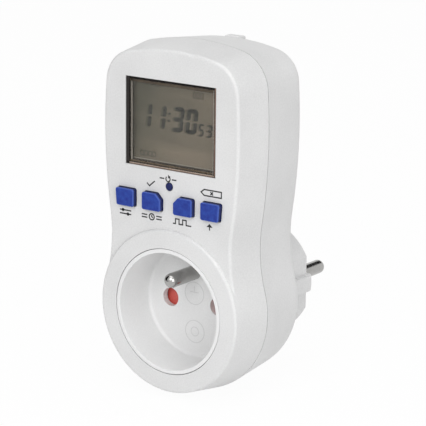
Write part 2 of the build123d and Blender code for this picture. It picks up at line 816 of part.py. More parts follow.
def make_reset_button():
    flange_y = inner_front_y + flange_clearance
    button = rod(-key_offset, reset_height, reset_radius, face_y - reset_proud, flange_y)
    button = fillet(button.faces().sort_by(Axis.Y)[0].edges(), reset_proud / 2)
    stem_y = flange_y + key_flange_thickness
    button += rod(-key_offset, reset_height, reset_radius + key_flange, flange_y, stem_y)
    return button + rod(-key_offset, reset_height, reset_radius, stem_y, board_y - reset_travel - fit_gap)


def make_keypad_mat():
    """Silicone sheet on the board with a low sprung wall round each key's stem."""
    mat_y = board_y - mat_thickness
    sheet_outline = Pos(0, mat_middle) * RectangleRounded(2 * mat_half_width, mat_height, mat_corner)
    mat = slab(sheet_outline, mat_y, board_y)
    dome_y = inner_front_y + flange_clearance + key_flange_thickness + key_travel + ring_gap
    clear = key_stem + 2 * key_gap
    stems = [key_place(sign, outer) for sign, outer in KEYS.values()]
    for x in stems:
        mat += block(x, key_middle, clear + 2 * dome_wall, clear + 2 * dome_wall, dome_y, mat_y)
    mat += rod(-key_offset, reset_height, reset_radius + key_gap + dome_wall / 2, dome_y, mat_y)
    for x in stems:
        mat -= block(x, key_middle, clear, clear, dome_y, board_y)
    return mat - rod(-key_offset, reset_height, reset_radius + key_gap, dome_y, board_y)


# ---------------------------------------------------------------- boards and what stands on them
def make_control_board():
    middle = (control_bottom + control_top) / 2
    half_board = beside_display + board_screw_head + control_margin
    section = Pos(0, middle) * Rectangle(2 * half_board, control_top - control_bottom)
    section = section & outline(wall + board_inset)
    for sign in SIDES:
        section -= Pos(sign * upper_screw[0], upper_screw[1]) * Circle(boss_radius + ring_gap)
    for x, height in control_screws():
        section -= Pos(x, height) * Circle(board_screw_radius + fit_gap)
    return slab(section, board_y, board_back_y)


def make_power_board():
    middle = (power_bottom + power_top) / 2
    section = Pos(0, middle) * Rectangle(2 * power_half_width, power_top - power_bottom)
    for x, height in power_screws():
        section -= Pos(x, height) * Circle(board_screw_radius + fit_gap)
    return slab(section, power_y, power_back_y)


def standing_can(height, radius, clearance):
    """Round capacitor on the relay board with a grooved neck near its sealed end."""
    can = rod(can_x, height, radius, board_back_y + clearance, power_y)
    can = fillet(can.faces().sort_by(Axis.Y)[0].edges(), radius / 8)
    neck_y = power_y - 2 * can_neck
    neck = rod(can_x, height, radius, neck_y - can_neck / 2, neck_y)
    return can - (neck - rod(can_x, height, radius - lead_radius, neck_y - can_neck / 2, neck_y))


def axial(place, radius, length, direction):
    """Axial part over the relay board; its two leads bend down into the board."""
    centre = Vector(place[0], power_y - radius - flange_clearance, socket_z + place[1])
    along = Vector(*direction)
    body = extrude(Plane(centre - along * (length / 2), z_dir=along) * Circle(radius), amount=length)
    body = fillet(body.edges().filter_by(GeomType.CIRCLE), radius / 4)
    for side in SIDES:
        elbow = centre + along * side * (length / 2 + 2 * lead_bend)
        path = FilletPolyline(centre, elbow, Vector(elbow.X, power_y, elbow.Z), radius=lead_bend)
        body += sweep(Plane(path @ 0, z_dir=path % 0) * Circle(lead_radius), path=path)
    return body


def make_relay():
    case = block(*relay_place, relay_width, relay_tall, board_back_y + relay_clearance, power_y)
    return fillet(case.faces().sort_by(Axis.Y)[0].edges(), 2 * flange_clearance)


def make_film_capacitor():
    box = block(*film_place, film_width, film_tall, board_back_y + film_clearance, power_y)
    return fillet(box.edges().filter_by(Axis.Y), 2 * flange_clearance)


def make_varistor():
    """Coated disc that stands on edge on the relay board."""
    x, height = varistor_place
    centre_y = power_y - varistor_radius - flange_clearance
    start = Plane((x - varistor_thickness / 2, centre_y, socket_z + height), z_dir=(1, 0, 0))
    disc = extrude(start * Circle(varistor_radius), amount=varistor_thickness)
    disc = fillet(disc.edges().filter_by(GeomType.CIRCLE), varistor_thickness / 3)
    for side in SIDES:
        disc += rod(x, height + side * varistor_radius / 2, lead_radius, centre_y, power_y)
    return disc


def make_relay_transistor():
    """Round-backed transistor case with a flat on one side."""
    x, height = transistor_place
    front = power_y - transistor_length
    case = rod(x, height, transistor_radius, front, power_y)
    flat = height - transistor_radius
    return case - block(x, flat, 2 * transistor_radius, transistor_radius, front, power_y)


def make_controller_chip():
    """Drop of black resin over the bonded chip."""
    drop = rod(*chip_place, chip_radius, board_back_y, board_back_y + chip_rise)
    return fillet(drop.faces().sort_by(Axis.Y)[-1].edges(), chip_rise - fit_gap)


def make_crystal():
    """Small watch crystal that lies on the control board on two bent leads."""
    x, height = crystal_place
    axis_y = board_back_y + crystal_radius + fit_gap
    foot = Plane((x, axis_y, socket_z + height), z_dir=(0, 0, 1))
    can = extrude(foot * Circle(crystal_radius), amount=crystal_length)
    for side in SIDES:
        lead_x = x + side * crystal_radius / 2
        elbow = Vector(lead_x, axis_y, socket_z + height - lead_bend)
        start = Vector(lead_x, axis_y, socket_z + height + lead_bend)
        path = FilletPolyline(start, elbow, Vector(lead_x, board_back_y, elbow.Z), radius=2 * crystal_lead)
        can += sweep(Plane(path @ 0, z_dir=path % 0) * Circle(crystal_lead), path=path)
    return can


def make_small_parts():
    """Chip resistors and capacitors in two rows on the back of the control board."""
    width, tall, thickness = small_part
    return [
        block(
            small_place[0] + small_pitch[0] * column,
            small_place[1] + small_pitch[1] * row,
            width,
            tall,
            board_back_y,
            board_back_y + thickness,
        )
        for row in range(small_grid[1])
        for column in range(small_grid[0])
    ]


def make_backup_battery():
    front = board_back_y + tab_thickness
    cell = rod(*battery_place, battery_radius, front, front + battery_thickness)
    return fillet(cell.edges().filter_by(GeomType.CIRCLE), battery_radius / 8)


def make_battery_tabs():
    """One welded strip under the cell and one over it that steps down to the board."""
    x, height = battery_place
    front = board_back_y
    back = board_back_y + tab_thickness + battery_thickness
    lower = block(x, height - tab_overhang, tab_width, 2 * battery_radius, front, front + tab_thickness)
    reach = battery_radius + tab_overhang
    upper = block(x, height + reach / 2, tab_width, reach, back, back + tab_thickness)
    upper += block(x, height + reach - tab_thickness / 2, tab_width, tab_thickness, front, back)
    return [lower, upper]


def make_link_header():
    """Row of long pins between the two boards, in a moulded strip at each end."""
    x, height = header_place
    tall = header_spacing * header_pins
    header = block(x, height, header_strip, tall, board_back_y, board_back_y + header_strip)
    header += block(x, height, header_strip, tall, power_y - header_strip, power_y)
    for index in range(header_pins):
        pin_height = height + header_spacing * (index - (header_pins - 1) / 2)
        header += block(x, pin_height, header_pin, header_pin, board_back_y, power_y)
    return header


def make_wire(points):
    """Insulated wire along straight runs with round bends."""
    path = FilletPolyline(*[(x, y, socket_z + height) for x, y, height in points], radius=wire_bend)
    return sweep(Plane(origin=path @ 0, z_dir=path % 0) * Circle(wire_radius), path=path)


def riser(x, start_y, start_height):
    """Wire from a contact forward, then up and back to the relay board's foot."""
    foot = power_bottom + riser_foot
    front_y = power_y - wire_bend - wire_radius
    turns = [(x, front_y, start_height), (x, front_y, foot)]
    return make_wire([(x, start_y, start_height), *turns, (x, power_y, foot)])


def make_screws(places, radius, head_radius, head_thickness, length, seat_y):
    return [screw(*place, radius, head_radius, head_thickness, length, seat_y) for place in places]


def make_board_screws(places, length, seat_y):
    head = (board_screw_head, board_screw_head_thickness)
    return make_screws(places, board_screw_radius, *head, length, seat_y)


def make_power_board_screws():
    """Driven from the front: the same screws, mirrored about the board's front face."""
    board_front = Plane((0, power_y, 0), x_dir=(1, 0, 0), z_dir=(0, 1, 0))
    from_behind = make_board_screws(power_screws(), board_screw_length, power_y)
    return [mirror(item, board_front) for item in from_behind]


def make_case_screws():
    head = (case_screw_head, case_screw_head_thickness)
    return make_screws(screw_places(), case_screw_radius, *head, case_screw_length, screw_seat_y)


def make_rectifier_diodes():
    x, height = diode_place
    places = [(x + diode_spacing * index, height) for index in range(diode_count)]
    return [axial(place, diode_radius, diode_length, (0, 0, 1)) for place in places]


# ---------------------------------------------------------------- every part, by file name
PARTS = {
    "front_cover": make_front_cover,
    "rear_cover": make_rear_cover,
    "socket_insert": make_socket_insert,
    "shutter": make_shutter,
    "shutter_spring": make_shutter_spring,
    "shutter_retainer": make_shutter_retainer,
    "shutter_screw": lambda: make_board_screws([(0, 0)], pivot_screw_length, retainer_back_y),
    "contact_carrier": make_contact_carrier,
    "neutral_contact": make_neutral_contact,
    "live_contact": lambda: make_contact(1),
    "live_tab": make_live_tab,
    "plug_pin_left": lambda: make_plug_pin(-1, contact_y),
    "plug_pin_right": lambda: make_plug_pin(1, collar_y - sheet),
    "earth_pin": make_earth_pin,
    "earth_strap": make_earth_strap,
    "earth_sleeve": make_earth_sleeve,
    "lcd_frame": make_lcd_frame,
    "display_window": make_display_window,
    "lcd_panel": make_lcd_panel,
    "lcd_connectors": make_lcd_connectors,
    **{name: (lambda place=place: make_key(*place)) for name, place in KEYS.items()},
    "reset_button": make_reset_button,
    "keypad_mat": make_keypad_mat,
    "control_board": make_control_board,
    "controller_chip": make_controller_chip,
    "crystal": make_crystal,
    "small_parts": make_small_parts,
    "backup_battery": make_backup_battery,
    "battery_tabs": make_battery_tabs,
    "link_header": make_link_header,
    "power_board": make_power_board,
    "relay": make_relay,
    "film_capacitor": make_film_capacitor,
    "supply_capacitor": lambda: standing_can(supply_height, supply_radius, can_clearance),
    "filter_capacitor": lambda: standing_can(filter_height, filter_radius, filter_clearance),
    "varistor": make_varistor,
    "fuse_resistor": lambda: axial(resistor_place, resistor_radius, resistor_length, (1, 0, 0)),
    "rectifier_diodes": make_rectifier_diodes,
    "relay_transistor": make_relay_transistor,
    "live_wire": lambda: riser(live_wire_x, collar_y - sheet, live_wire_height),
    "load_wire": lambda: riser(load_wire_x, contact_y, load_height),
    "neutral_wire": lambda: riser(-load_wire_x, contact_y, load_height),
    "case_screws": make_case_screws,
    "control_board_screws": lambda: make_board_screws(control_screws(), board_screw_length, board_back_y),
    "power_board_screws": make_power_board_screws,
}

for name, make in PARTS.items():
    write(name, make())
    print(name)
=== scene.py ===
# %% [markdown]
# # Dressing a plug-in timer switch
# The shapes of this object come from a CAD model: two moulded shells, a socket, a display, keys
# and plug pins, each as a part of its own. Blender adds what CAD leaves out: finishes, printed
# marks, the numerals of the display, studio light and a camera. Everything is in metres, and
# +Z is up, +Y leaves the plug towards the wall and +X is to the right of the display.

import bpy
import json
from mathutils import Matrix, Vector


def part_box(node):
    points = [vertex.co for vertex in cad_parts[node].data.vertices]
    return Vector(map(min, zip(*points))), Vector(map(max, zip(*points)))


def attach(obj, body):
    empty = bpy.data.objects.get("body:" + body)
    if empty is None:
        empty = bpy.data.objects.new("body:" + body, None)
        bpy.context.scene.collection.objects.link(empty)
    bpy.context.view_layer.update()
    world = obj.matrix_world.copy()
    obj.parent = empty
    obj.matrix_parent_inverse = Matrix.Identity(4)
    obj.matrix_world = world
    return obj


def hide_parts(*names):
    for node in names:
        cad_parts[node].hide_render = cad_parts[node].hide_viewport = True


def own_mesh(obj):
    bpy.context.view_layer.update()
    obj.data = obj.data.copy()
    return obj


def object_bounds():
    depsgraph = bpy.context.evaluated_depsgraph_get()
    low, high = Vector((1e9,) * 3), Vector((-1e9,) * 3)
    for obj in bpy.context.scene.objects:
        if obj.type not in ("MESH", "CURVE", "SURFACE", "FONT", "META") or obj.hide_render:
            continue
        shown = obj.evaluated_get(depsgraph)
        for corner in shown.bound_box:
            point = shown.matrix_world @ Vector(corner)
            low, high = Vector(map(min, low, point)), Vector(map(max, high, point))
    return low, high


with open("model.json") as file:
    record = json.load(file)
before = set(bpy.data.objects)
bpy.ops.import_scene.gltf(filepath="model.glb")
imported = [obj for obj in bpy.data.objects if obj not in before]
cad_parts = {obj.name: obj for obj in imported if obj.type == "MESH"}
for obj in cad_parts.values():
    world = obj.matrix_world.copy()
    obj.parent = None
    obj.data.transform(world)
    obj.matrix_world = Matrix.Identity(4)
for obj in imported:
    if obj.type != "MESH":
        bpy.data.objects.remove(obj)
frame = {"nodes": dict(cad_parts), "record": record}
solid_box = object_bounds()
print("parts loaded:", len(frame["nodes"]))

# %% Tools that every later cell uses
import json
from math import cos, pi, radians, sin, tan

import bmesh
import bpy
from mathutils import Matrix, Vector

MM = 0.001
print("width, depth and height in mm:", [round((b - a) / MM, 1) for a, b in zip(*solid_box)])

# %% [markdown]
# ## The camera
# A small appliance is shown from a step away through a long lens, so that its upright edges stay
# parallel. The lens is given in millimetres on a sensor 36 mm wide. The camera's turn is written
# as three axes, because axes can be read as directions: to the right in the view, up in the
# view, and from the object back to the lens. The alternative, a constraint that tracks a target,
# hides the small lean that a tripod set up by hand has. The two shifts slide the view on the
# sensor, so the object can sit a little off centre while the camera keeps its direction.

# %% Place the camera
to_lens = Vector((0.56671, -0.78710, 0.24353))
level_right = Vector((0.81153, 0.58430, 0.0))
level_up = to_lens.cross(level_right)
lean = 0.010  # radians, the tripod's small lean
view_right = level_right * cos(lean) + level_up * sin(lean)
view_up = level_up * cos(lean) - level_right * sin(lean)
stand = Vector((398.01, -586.25, 198.12)) * MM

camera_data = bpy.data.cameras.new("product_lens")
camera_data.sensor_width = 36.0
camera_data.lens = 182.46
camera_data.shift_x = 0.00643
camera_data.shift_y = 0.00245
camera_data.clip_start = 0.05
camera = bpy.data.objects.new("camera", camera_data)
turn = Matrix((view_right, view_up, to_lens)).transposed().to_4x4()
camera.matrix_world = Matrix.Translation(stand) @ turn
bpy.context.scene.collection.objects.link(camera)
bpy.context.scene.camera = camera
print("camera stands", round(stand.length, 3), "m from the plug")

# %% [markdown]
# ## Colours and nodes
# Paint and plastic colours are written as the hex values of a colour chart. Those are sRGB
# values, while a shader works with linear light, so one function turns the first into the
# second. A second function adds a shader node with its settings and links in one line. Nodes
# could also be dragged together by hand, but a recipe in text can be read, compared and reused.

# %% One function for colours, one for nodes
def linear(hex_colour):
    """sRGB hex, such as "E4E4E2", to linear red, green, blue and an alpha of one."""
    channels = [int(hex_colour[i : i + 2], 16) / 255 for i in (0, 2, 4)]
    light = [c / 12.92 if c <= 0.04045 else ((c + 0.055) / 1.055) ** 2.4 for c in channels]
    return (*light, 1.0)


def add(owner, kind, inputs=None, **settings):
    """Adds a node. An input's value is a number, a colour, or another node's output to link."""
    fresh = owner.node_tree.nodes.new(kind)
    for name, value in settings.items():
        setattr(fresh, name, value)
    for name, value in (inputs or {}).items():
        if isinstance(value, bpy.types.NodeSocket):
            owner.node_tree.links.new(value, fresh.inputs[name])
        else:
            fresh.inputs[name].default_value = value
    return fresh


print("a mid grey in linear light:", [round(c, 3) for c in linear("808080")[:3]])

# %% [markdown]
# ## Moulded plastic
# The casing is ABS, moulded in a tool whose walls were spark eroded. That leaves a fine, even
# matt grain and no shine streaks. Up close the grain is about 0.1 mm wide, which is finer than
# one dot of the render, so it is drawn 0.5 mm wide and very shallow. Two noises share the work.
# The fine one gives the grain and tiny changes of gloss. The broad one adds the faint clouds of
# a large moulding, and the sum of both picks a tone between a light and a dark one. Noise was
# chosen over an image, because it has no seams and follows any shape. It reads the object's own
# coordinates in metres, so a size in millimetres is turned into a scale of one over that size.
# Nylon, PBT and moulded epoxy come out of steel tools too, so they share the recipe.

# %% A recipe for moulded plastic
NOISE_LOW, NOISE_HIGH = 0.3, 0.7  # nearly all values of one noise lie between these
SUM_LOW, SUM_HIGH = 0.75, 1.25  # and nearly all sums of two
PLASTIC_IOR = 1.53


def start_material(name):
    material = bpy.data.materials.new(name)
    material.use_nodes = True
    material.node_tree.nodes.clear()
    return material


def moulded_plastic(name, light, dark, roughness, grain_mm, depth_mm, cloud_mm=22.0):
    """A plastic out of a textured tool: tones, roughness, then grain and clouds in mm."""
    material = start_material(name)
    place = add(material, "ShaderNodeTexCoord").outputs["Object"]
    grain = add(material, "ShaderNodeTexNoise", {
        "Vector": place, "Scale": 1 / (grain_mm * MM), "Detail": 2.0}).outputs["Fac"]
    cloud = add(material, "ShaderNodeTexNoise", {
        "Vector": place, "Scale": 1 / (cloud_mm * MM), "Detail": 3.0}).outputs["Fac"]
    both = add(material, "ShaderNodeMath", {0: grain, 1: cloud}, operation="ADD")
    share = add(material, "ShaderNodeMapRange", {
        "Value": both.outputs[0], "From Min": SUM_LOW, "From Max": SUM_HIGH})
    tone = add(material, "ShaderNodeMix", {
        "Factor": share.outputs["Result"], "A": linear(dark), "B": linear(light)},
        data_type="RGBA")
    gloss = add(material, "ShaderNodeMapRange", {
        "Value": grain, "From Min": NOISE_LOW, "From Max": NOISE_HIGH,
        "To Min": roughness - 0.05, "To Max": roughness + 0.05})
    bump = add(material, "ShaderNodeBump", {
        "Height": grain, "Distance": depth_mm * MM, "Strength": 0.6})
    skin = add(material, "ShaderNodeBsdfPrincipled", {
        "Base Color": tone.outputs["Result"], "Roughness": gloss.outputs["Result"],
        "Normal": bump.outputs["Normal"], "IOR": PLASTIC_IOR})
    add(material, "ShaderNodeOutputMaterial", {"Surface": skin.outputs["BSDF"]})
    return material


print("a grain of 0.5 mm has the noise scale", 1 / (0.5 * MM))

# %% The moulded parts
FINISH = {
    # Matt: shape shows by soft shading, and a rounded edge by one broad pale line.
    "casing_white": moulded_plastic("abs_moulded_matt_white", "DEDEDE", "D4D4D4", 0.42, 0.5, 0.03),
    # A smoother tool and a cleaner white than the casing's.
    "insert_white": moulded_plastic(
        "abs_moulded_satin_white", "E7E7E7", "E1E1E1", 0.4, 0.5, 0.015),
    # Satin, dyed through, a little cloudy.
    "shutter_red": moulded_plastic(
        "nylon_moulded_satin_red", "EC6E64", "E0625A", 0.4, 0.4, 0.008, 6.0),
    # Half polished, so the almost black frame still shows its edges.
    "frame_dark": moulded_plastic(
        "abs_moulded_dark_brown", "201C1A", "171412", 0.26, 0.4, 0.01, 8.0),
    # Undyed nylon is a warm, milky white.
    "retainer_white": moulded_plastic(
        "nylon_moulded_natural", "DCDAD2", "D2D0C6", 0.45, 0.4, 0.008, 9.0),
    # Glass fibres come to the skin and leave it dull and mottled.
    "carrier_grey": moulded_plastic(
        "nylon_glass_filled_grey", "6A6C6E", "57595B", 0.55, 0.6, 0.02, 4.0),
    # Plain dull black of a small moulded body.
    "diode_black": moulded_plastic(
        "epoxy_moulded_black", "2E2E30", "232325", 0.5, 0.3, 0.01, 3.0),
    # A little smoother than the epoxy.
    "header_black": moulded_plastic(
        "nylon_moulded_black", "323234", "28282A", 0.45, 0.3, 0.01, 3.0),
    # PBT leaves a polished tool with a clear shine.
    "relay_blue": moulded_plastic(
        "pbt_moulded_blue", "2C5AA0", "244C8C", 0.3, 0.5, 0.006, 7.0),
    "film_grey": moulded_plastic(
        "pbt_moulded_grey", "B4B4B8", "A6A6AA", 0.35, 0.5, 0.006, 7.0),
}
print("moulded finishes:", len(FINISH))

# %% [markdown]
# ## Silicone keys
# The keys are silicone rubber, which leaves its mould with a soft satin skin, and dust makes it
# slightly patchy. A little sheen brightens the skin where it turns away from the eye, as light
# that went a short way into the rubber does. The caps' side walls, from half a millimetre behind
# their front, are painted a darker blue, which is a painted shade. Where the front turns into the
# rounded edge it is painted paler, which is a painted highlight. Two materials, split by face,
# would meet in a hard line. So one material tells the front from the shaded wall by depth, and
# the flat front from the highlighted edge by the Y part of the surface's own direction. A wire's
# PVC sleeve has the same satin skin without the painted shade and highlight, and so have the mat
# under the keys and the strips that carry the display's signals, so they share the recipe.

# %% The keys' silicone, the mat and the wires
key_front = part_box("key_left")[0].y
WALL_SHADE_ENDS = (0.45 * MM, 0.75 * MM)  # the painted wall shade fades out towards the front between these depths
FLAT, TURNED = -0.99, -0.9  # Y part of the direction, on the front and at the painted edge highlight
PATCH_LOW, PATCH_HIGH = 0.35, 0.65  # narrower than a noise's own span, so patches stand out
SILICONE_IOR = 1.41


def silicone(name, light, dark, roughness, patch_mm, sheen, wall=None, edge=None):
    """Press-moulded rubber: satin and slightly patchy; wall is a painted shade, edge a painted
    highlight.
    """
    material = start_material(name)
    place = add(material, "ShaderNodeTexCoord").outputs["Object"]
    patch = add(material, "ShaderNodeTexNoise", {
        "Vector": place, "Scale": 1 / (patch_mm * MM), "Detail": 5.0,
        "Roughness": 0.6}).outputs["Fac"]
    spread = add(material, "ShaderNodeMapRange", {
        "Value": patch, "From Min": PATCH_LOW, "From Max": PATCH_HIGH})
    tone = add(material, "ShaderNodeMix", {
        "Factor": spread.outputs["Result"], "A": linear(dark), "B": linear(light)},
        data_type="RGBA")
    # Painted light: wall is a dark tone painted on the caps' side walls as shade, and edge is a
    # pale tone painted where the front turns, as a highlight.
    if wall:
        facing = add(material, "ShaderNodeSeparateXYZ", {
            "Vector": add(material, "ShaderNodeTexCoord").outputs["Normal"]})
        bent = add(material, "ShaderNodeMapRange", {
            "Value": facing.outputs["Y"], "From Min": TURNED, "From Max": FLAT,
            "To Min": 1.0, "To Max": 0.0})
        edge_highlight = add(material, "ShaderNodeMix", {
            "Factor": bent.outputs["Result"], "A": tone.outputs["Result"], "B": linear(edge)},
            data_type="RGBA")
        depth = add(material, "ShaderNodeSeparateXYZ", {"Vector": place})
        clear_of_wall_shade = add(material, "ShaderNodeMapRange", {
            "Value": depth.outputs["Y"], "From Min": key_front + WALL_SHADE_ENDS[1],
            "From Max": key_front + WALL_SHADE_ENDS[0], "To Min": 0.0, "To Max": 1.0})
        tone = add(material, "ShaderNodeMix", {
            "Factor": clear_of_wall_shade.outputs["Result"], "A": linear(wall), "B": edge_highlight.outputs["Result"]},
            data_type="RGBA")
    bump = add(material, "ShaderNodeBump", {
        "Height": patch, "Distance": 0.02 * MM, "Strength": 0.5})
    gloss = add(material, "ShaderNodeMapRange", {
        "Value": patch, "From Min": NOISE_LOW, "From Max": NOISE_HIGH,
        "To Min": roughness + 0.08, "To Max": roughness - 0.06})
    skin = add(material, "ShaderNodeBsdfPrincipled", {
        "Base Color": tone.outputs["Result"], "Roughness": gloss.outputs["Result"],
        "Normal": bump.outputs["Normal"], "IOR": SILICONE_IOR, "Sheen Weight": sheen,
        "Sheen Roughness": 0.4, "Sheen Tint": linear("9DB2F0")})
    add(material, "ShaderNodeOutputMaterial", {"Surface": skin.outputs["BSDF"]})
    return material


FINISH |= {
    # Satin blue, patchy on the front, with painted shade on the side wall and a painted highlight
    # on the rounded edge.
    "key_blue": silicone(
        "silicone_moulded_blue", "22429C", "182F88", 0.5, 1.6, 0.02, "131E55", "3A55A8"),
    # The mat is never touched: an even, dull grey.
    "mat_grey": silicone("silicone_sheet_grey", "9A9CA2", "86888E", 0.5, 1.5, 0.1),
    # Thin layers that do and don't conduct give the strip a fine pink mottle.
    "contact_rubber": silicone(
        "silicone_contact_strip_pink", "D9A0AE", "B97F90", 0.5, 0.4, 0.1),
    # Extruded sleeves are smooth along their length, with a soft shine.
    "wire_red": silicone("pvc_extruded_red", "B8262A", "A01E22", 0.4, 2.0, 0.0),
    "wire_black": silicone("pvc_extruded_black", "2C2C2E", "222224", 0.4, 2.0, 0.0),
    "wire_blue": silicone("pvc_extruded_blue", "2C52A8", "224392", 0.4, 2.0, 0.0),
}
print("finishes so far:", len(FINISH))

# %% [markdown]
# ## Nickel, brass and steel
# The pins are brass bars, turned and then nickel plated. Turning leaves rings round the pin
# that are 0.1 mm apart, and plating leaves them softly bright. The rings are drawn 0.3 mm
# apart, because the real ones are finer than a dot of the render. An anisotropic shader could
# stretch the shine along the rings, but it needs a direction on every face; a noise that is
# stretched along the tool's path gives the same look on any shape. A metal's colour is its
# reflection, so it has no separate shine setting: metallic is one and the IOR stays as it is.

# %% A recipe for worked metal
LINE_STRETCH = 0.06  # a line is about 17 times as long as it is wide
STAIN_MM = 3.0


def worked_metal(name, light, dark, roughness, line_mm, along=(0.0, 1.0, 0.0)):
    """Turned, drawn or rolled metal; the tool's lines repeat along one direction."""
    material = start_material(name)
    place = add(material, "ShaderNodeTexCoord").outputs["Object"]
    stretch = tuple(1.0 if part else LINE_STRETCH for part in along)
    lines_place = add(material, "ShaderNodeMapping", {"Vector": place, "Scale": stretch})
    lines = add(material, "ShaderNodeTexNoise", {
        "Vector": lines_place.outputs["Vector"], "Scale": 1 / (line_mm * MM),
        "Detail": 3.0}).outputs["Fac"]
    stain = add(material, "ShaderNodeTexNoise", {
        "Vector": place, "Scale": 1 / (STAIN_MM * MM), "Detail": 4.0})
    tone = add(material, "ShaderNodeMix", {
        "Factor": stain.outputs["Fac"], "A": linear(dark), "B": linear(light)},
        data_type="RGBA")
    gloss = add(material, "ShaderNodeMapRange", {
        "Value": lines, "From Min": NOISE_LOW, "From Max": NOISE_HIGH,
        "To Min": roughness - 0.05, "To Max": roughness + 0.08})
    bump = add(material, "ShaderNodeBump", {
        "Height": lines, "Distance": 0.004 * MM, "Strength": 0.5})
    skin = add(material, "ShaderNodeBsdfPrincipled", {
        "Base Color": tone.outputs["Result"], "Roughness": gloss.outputs["Result"],
        "Normal": bump.outputs["Normal"], "Metallic": 1.0})
    add(material, "ShaderNodeOutputMaterial", {"Surface": skin.outputs["BSDF"]})
    return material


ALONG_X, ALONG_Z = (1.0, 0.0, 0.0), (0.0, 0.0, 1.0)
metals_before = len(FINISH)
FINISH |= {
    # Plating: the brightest of the metals, slightly warm.
    "nickel": worked_metal("brass_turned_nickel_plated", "B6B5B3", "9A9997", 0.13, 0.3),
    # Bare brass strip: yellow and satin, with faint lines from the mill's rolls.
    "brass_sheet": worked_metal("brass_rolled_strip", "D8B46A", "C09A50", 0.3, 0.4, ALONG_X),
    # Wire pulled through a die: satin grey.
    "spring_steel": worked_metal("steel_drawn_wire", "A4A4A8", "8C8C90", 0.3, 0.2, ALONG_Z),
    # Zinc: a bluish, slightly dull grey.
    "steel_screw": worked_metal("steel_zinc_plated", "B8BABE", "9C9EA2", 0.32, 0.3),
    # A pressed can keeps the smooth skin of its sheet.
    "cell_steel": worked_metal("steel_pressed_can", "BCBCBE", "A8A8AA", 0.25, 0.5, ALONG_X),
}
print("metal finishes:", len(FINISH) - metals_before)

# %% [markdown]
# ## The window and the display glass
# The window over the display is a clear acrylic moulding, 1.3 mm thick. Cycles bends light that
# goes through glass, but a lamp can't be found through a bent path, which leaves the parts
# behind it too dark. So for shadow rays alone the window is fully see-through, and every other
# ray meets real acrylic. Behind it lies the liquid crystal cell: glass with a polarising film
# over a satin reflector, an olive grey. Its colour is painted darker and greener upwards and
# leftwards, a painted shade that is deepest at the top left under the frame, and soft level bands
# of painted reflection cross it. One flat colour would be simpler, but it would look like painted
# card.

# %% Clear acrylic
ACRYLIC_IOR = 1.49


def clear_acrylic(name):
    """Polished and clear, with the faint waves of a moulding that has cooled unevenly."""
    material = start_material(name)
    place = add(material, "ShaderNodeTexCoord").outputs["Object"]
    flow = add(material, "ShaderNodeTexNoise", {
        "Vector": place, "Scale": 1 / (9 * MM), "Detail": 1.0})
    bump = add(material, "ShaderNodeBump", {
        "Height": flow.outputs["Fac"], "Distance": 0.02 * MM, "Strength": 0.1})
    body = add(material, "ShaderNodeBsdfPrincipled", {
        "Base Color": linear("F4F4F0"), "Roughness": 0.0, "IOR": ACRYLIC_IOR,
        "Transmission Weight": 1.0, "Normal": bump.outputs["Normal"]})
    clear = add(material, "ShaderNodeBsdfTransparent", {"Color": linear("F2F2EE")})
    ray = add(material, "ShaderNodeLightPath")
    either = add(material, "ShaderNodeMixShader", {
        0: ray.outputs["Is Shadow Ray"], 1: body.outputs["BSDF"], 2: clear.outputs["BSDF"]})
    add(material, "ShaderNodeOutputMaterial", {"Surface": either.outputs["Shader"]})
    return material


FINISH["window_clear"] = clear_acrylic("acrylic_moulded_clear")
print("window finish:", FINISH["window_clear"].name)

# %% The cell's reflector and its dark segments
GLASS_LOW, GLASS_HIGH, GLASS_HALF = 46 * MM, 74 * MM, 17 * MM  # heights, and half the width
FILM_ROUGHNESS, FILM_IOR = 0.42, 1.5


def display_film(name, light, dark):
    """Satin reflector under film: painted shade up and left, painted reflections in level bands.
    """
    material = start_material(name)
    place = add(material, "ShaderNodeTexCoord").outputs["Object"]
    wide = add(material, "ShaderNodeMapping", {"Vector": place, "Scale": (0.25, 1.0, 1.0)})
    band = add(material, "ShaderNodeTexNoise", {
        "Vector": wide.outputs["Vector"], "Scale": 1 / (7 * MM), "Detail": 2.0})
    part = add(material, "ShaderNodeSeparateXYZ", {"Vector": place})
    # Painted shade: fall and across darken the tone towards the top and the left; the band noise
    # paints faint reflections.
    fall = add(material, "ShaderNodeMapRange", {
        "Value": part.outputs["Z"], "From Min": GLASS_HIGH, "From Max": GLASS_LOW,
        "To Min": -0.45, "To Max": 0.2})
    across = add(material, "ShaderNodeMapRange", {
        "Value": part.outputs["X"], "From Min": -GLASS_HALF, "From Max": GLASS_HALF,
        "To Min": -0.1, "To Max": 0.8})
    slope = add(material, "ShaderNodeMath", {
        0: fall.outputs["Result"], 1: across.outputs["Result"]}, operation="ADD")
    bands = add(material, "ShaderNodeMapRange", {
        "Value": band.outputs["Fac"], "From Min": NOISE_LOW, "From Max": NOISE_HIGH})
    share = add(material, "ShaderNodeMath", {
        0: bands.outputs["Result"], 1: 0.7, 2: slope.outputs[0]},
        operation="MULTIPLY_ADD", use_clamp=True)
    tone = add(material, "ShaderNodeMix", {
        "Factor": share.outputs[0], "A": linear(dark), "B": linear(light)},
        data_type="RGBA")
    skin = add(material, "ShaderNodeBsdfPrincipled", {
        "Base Color": tone.outputs["Result"], "Roughness": FILM_ROUGHNESS, "IOR": FILM_IOR})
    add(material, "ShaderNodeOutputMaterial", {"Surface": skin.outputs["BSDF"]})
    return material


FINISH["display_glass"] = display_film("polariser_over_satin_reflector", "7B7064", "4E4B41")
# A segment that is on stops nearly all light; its shade on the reflector takes a part of it.
segment_dark = display_film("liquid_crystal_segment_on", "30302E", "282826")
segment_shade = display_film("segment_shade_on_reflector", "5E564C", "403F37")
print("display finishes:", FINISH["display_glass"].name, segment_dark.name, segment_shade.name)

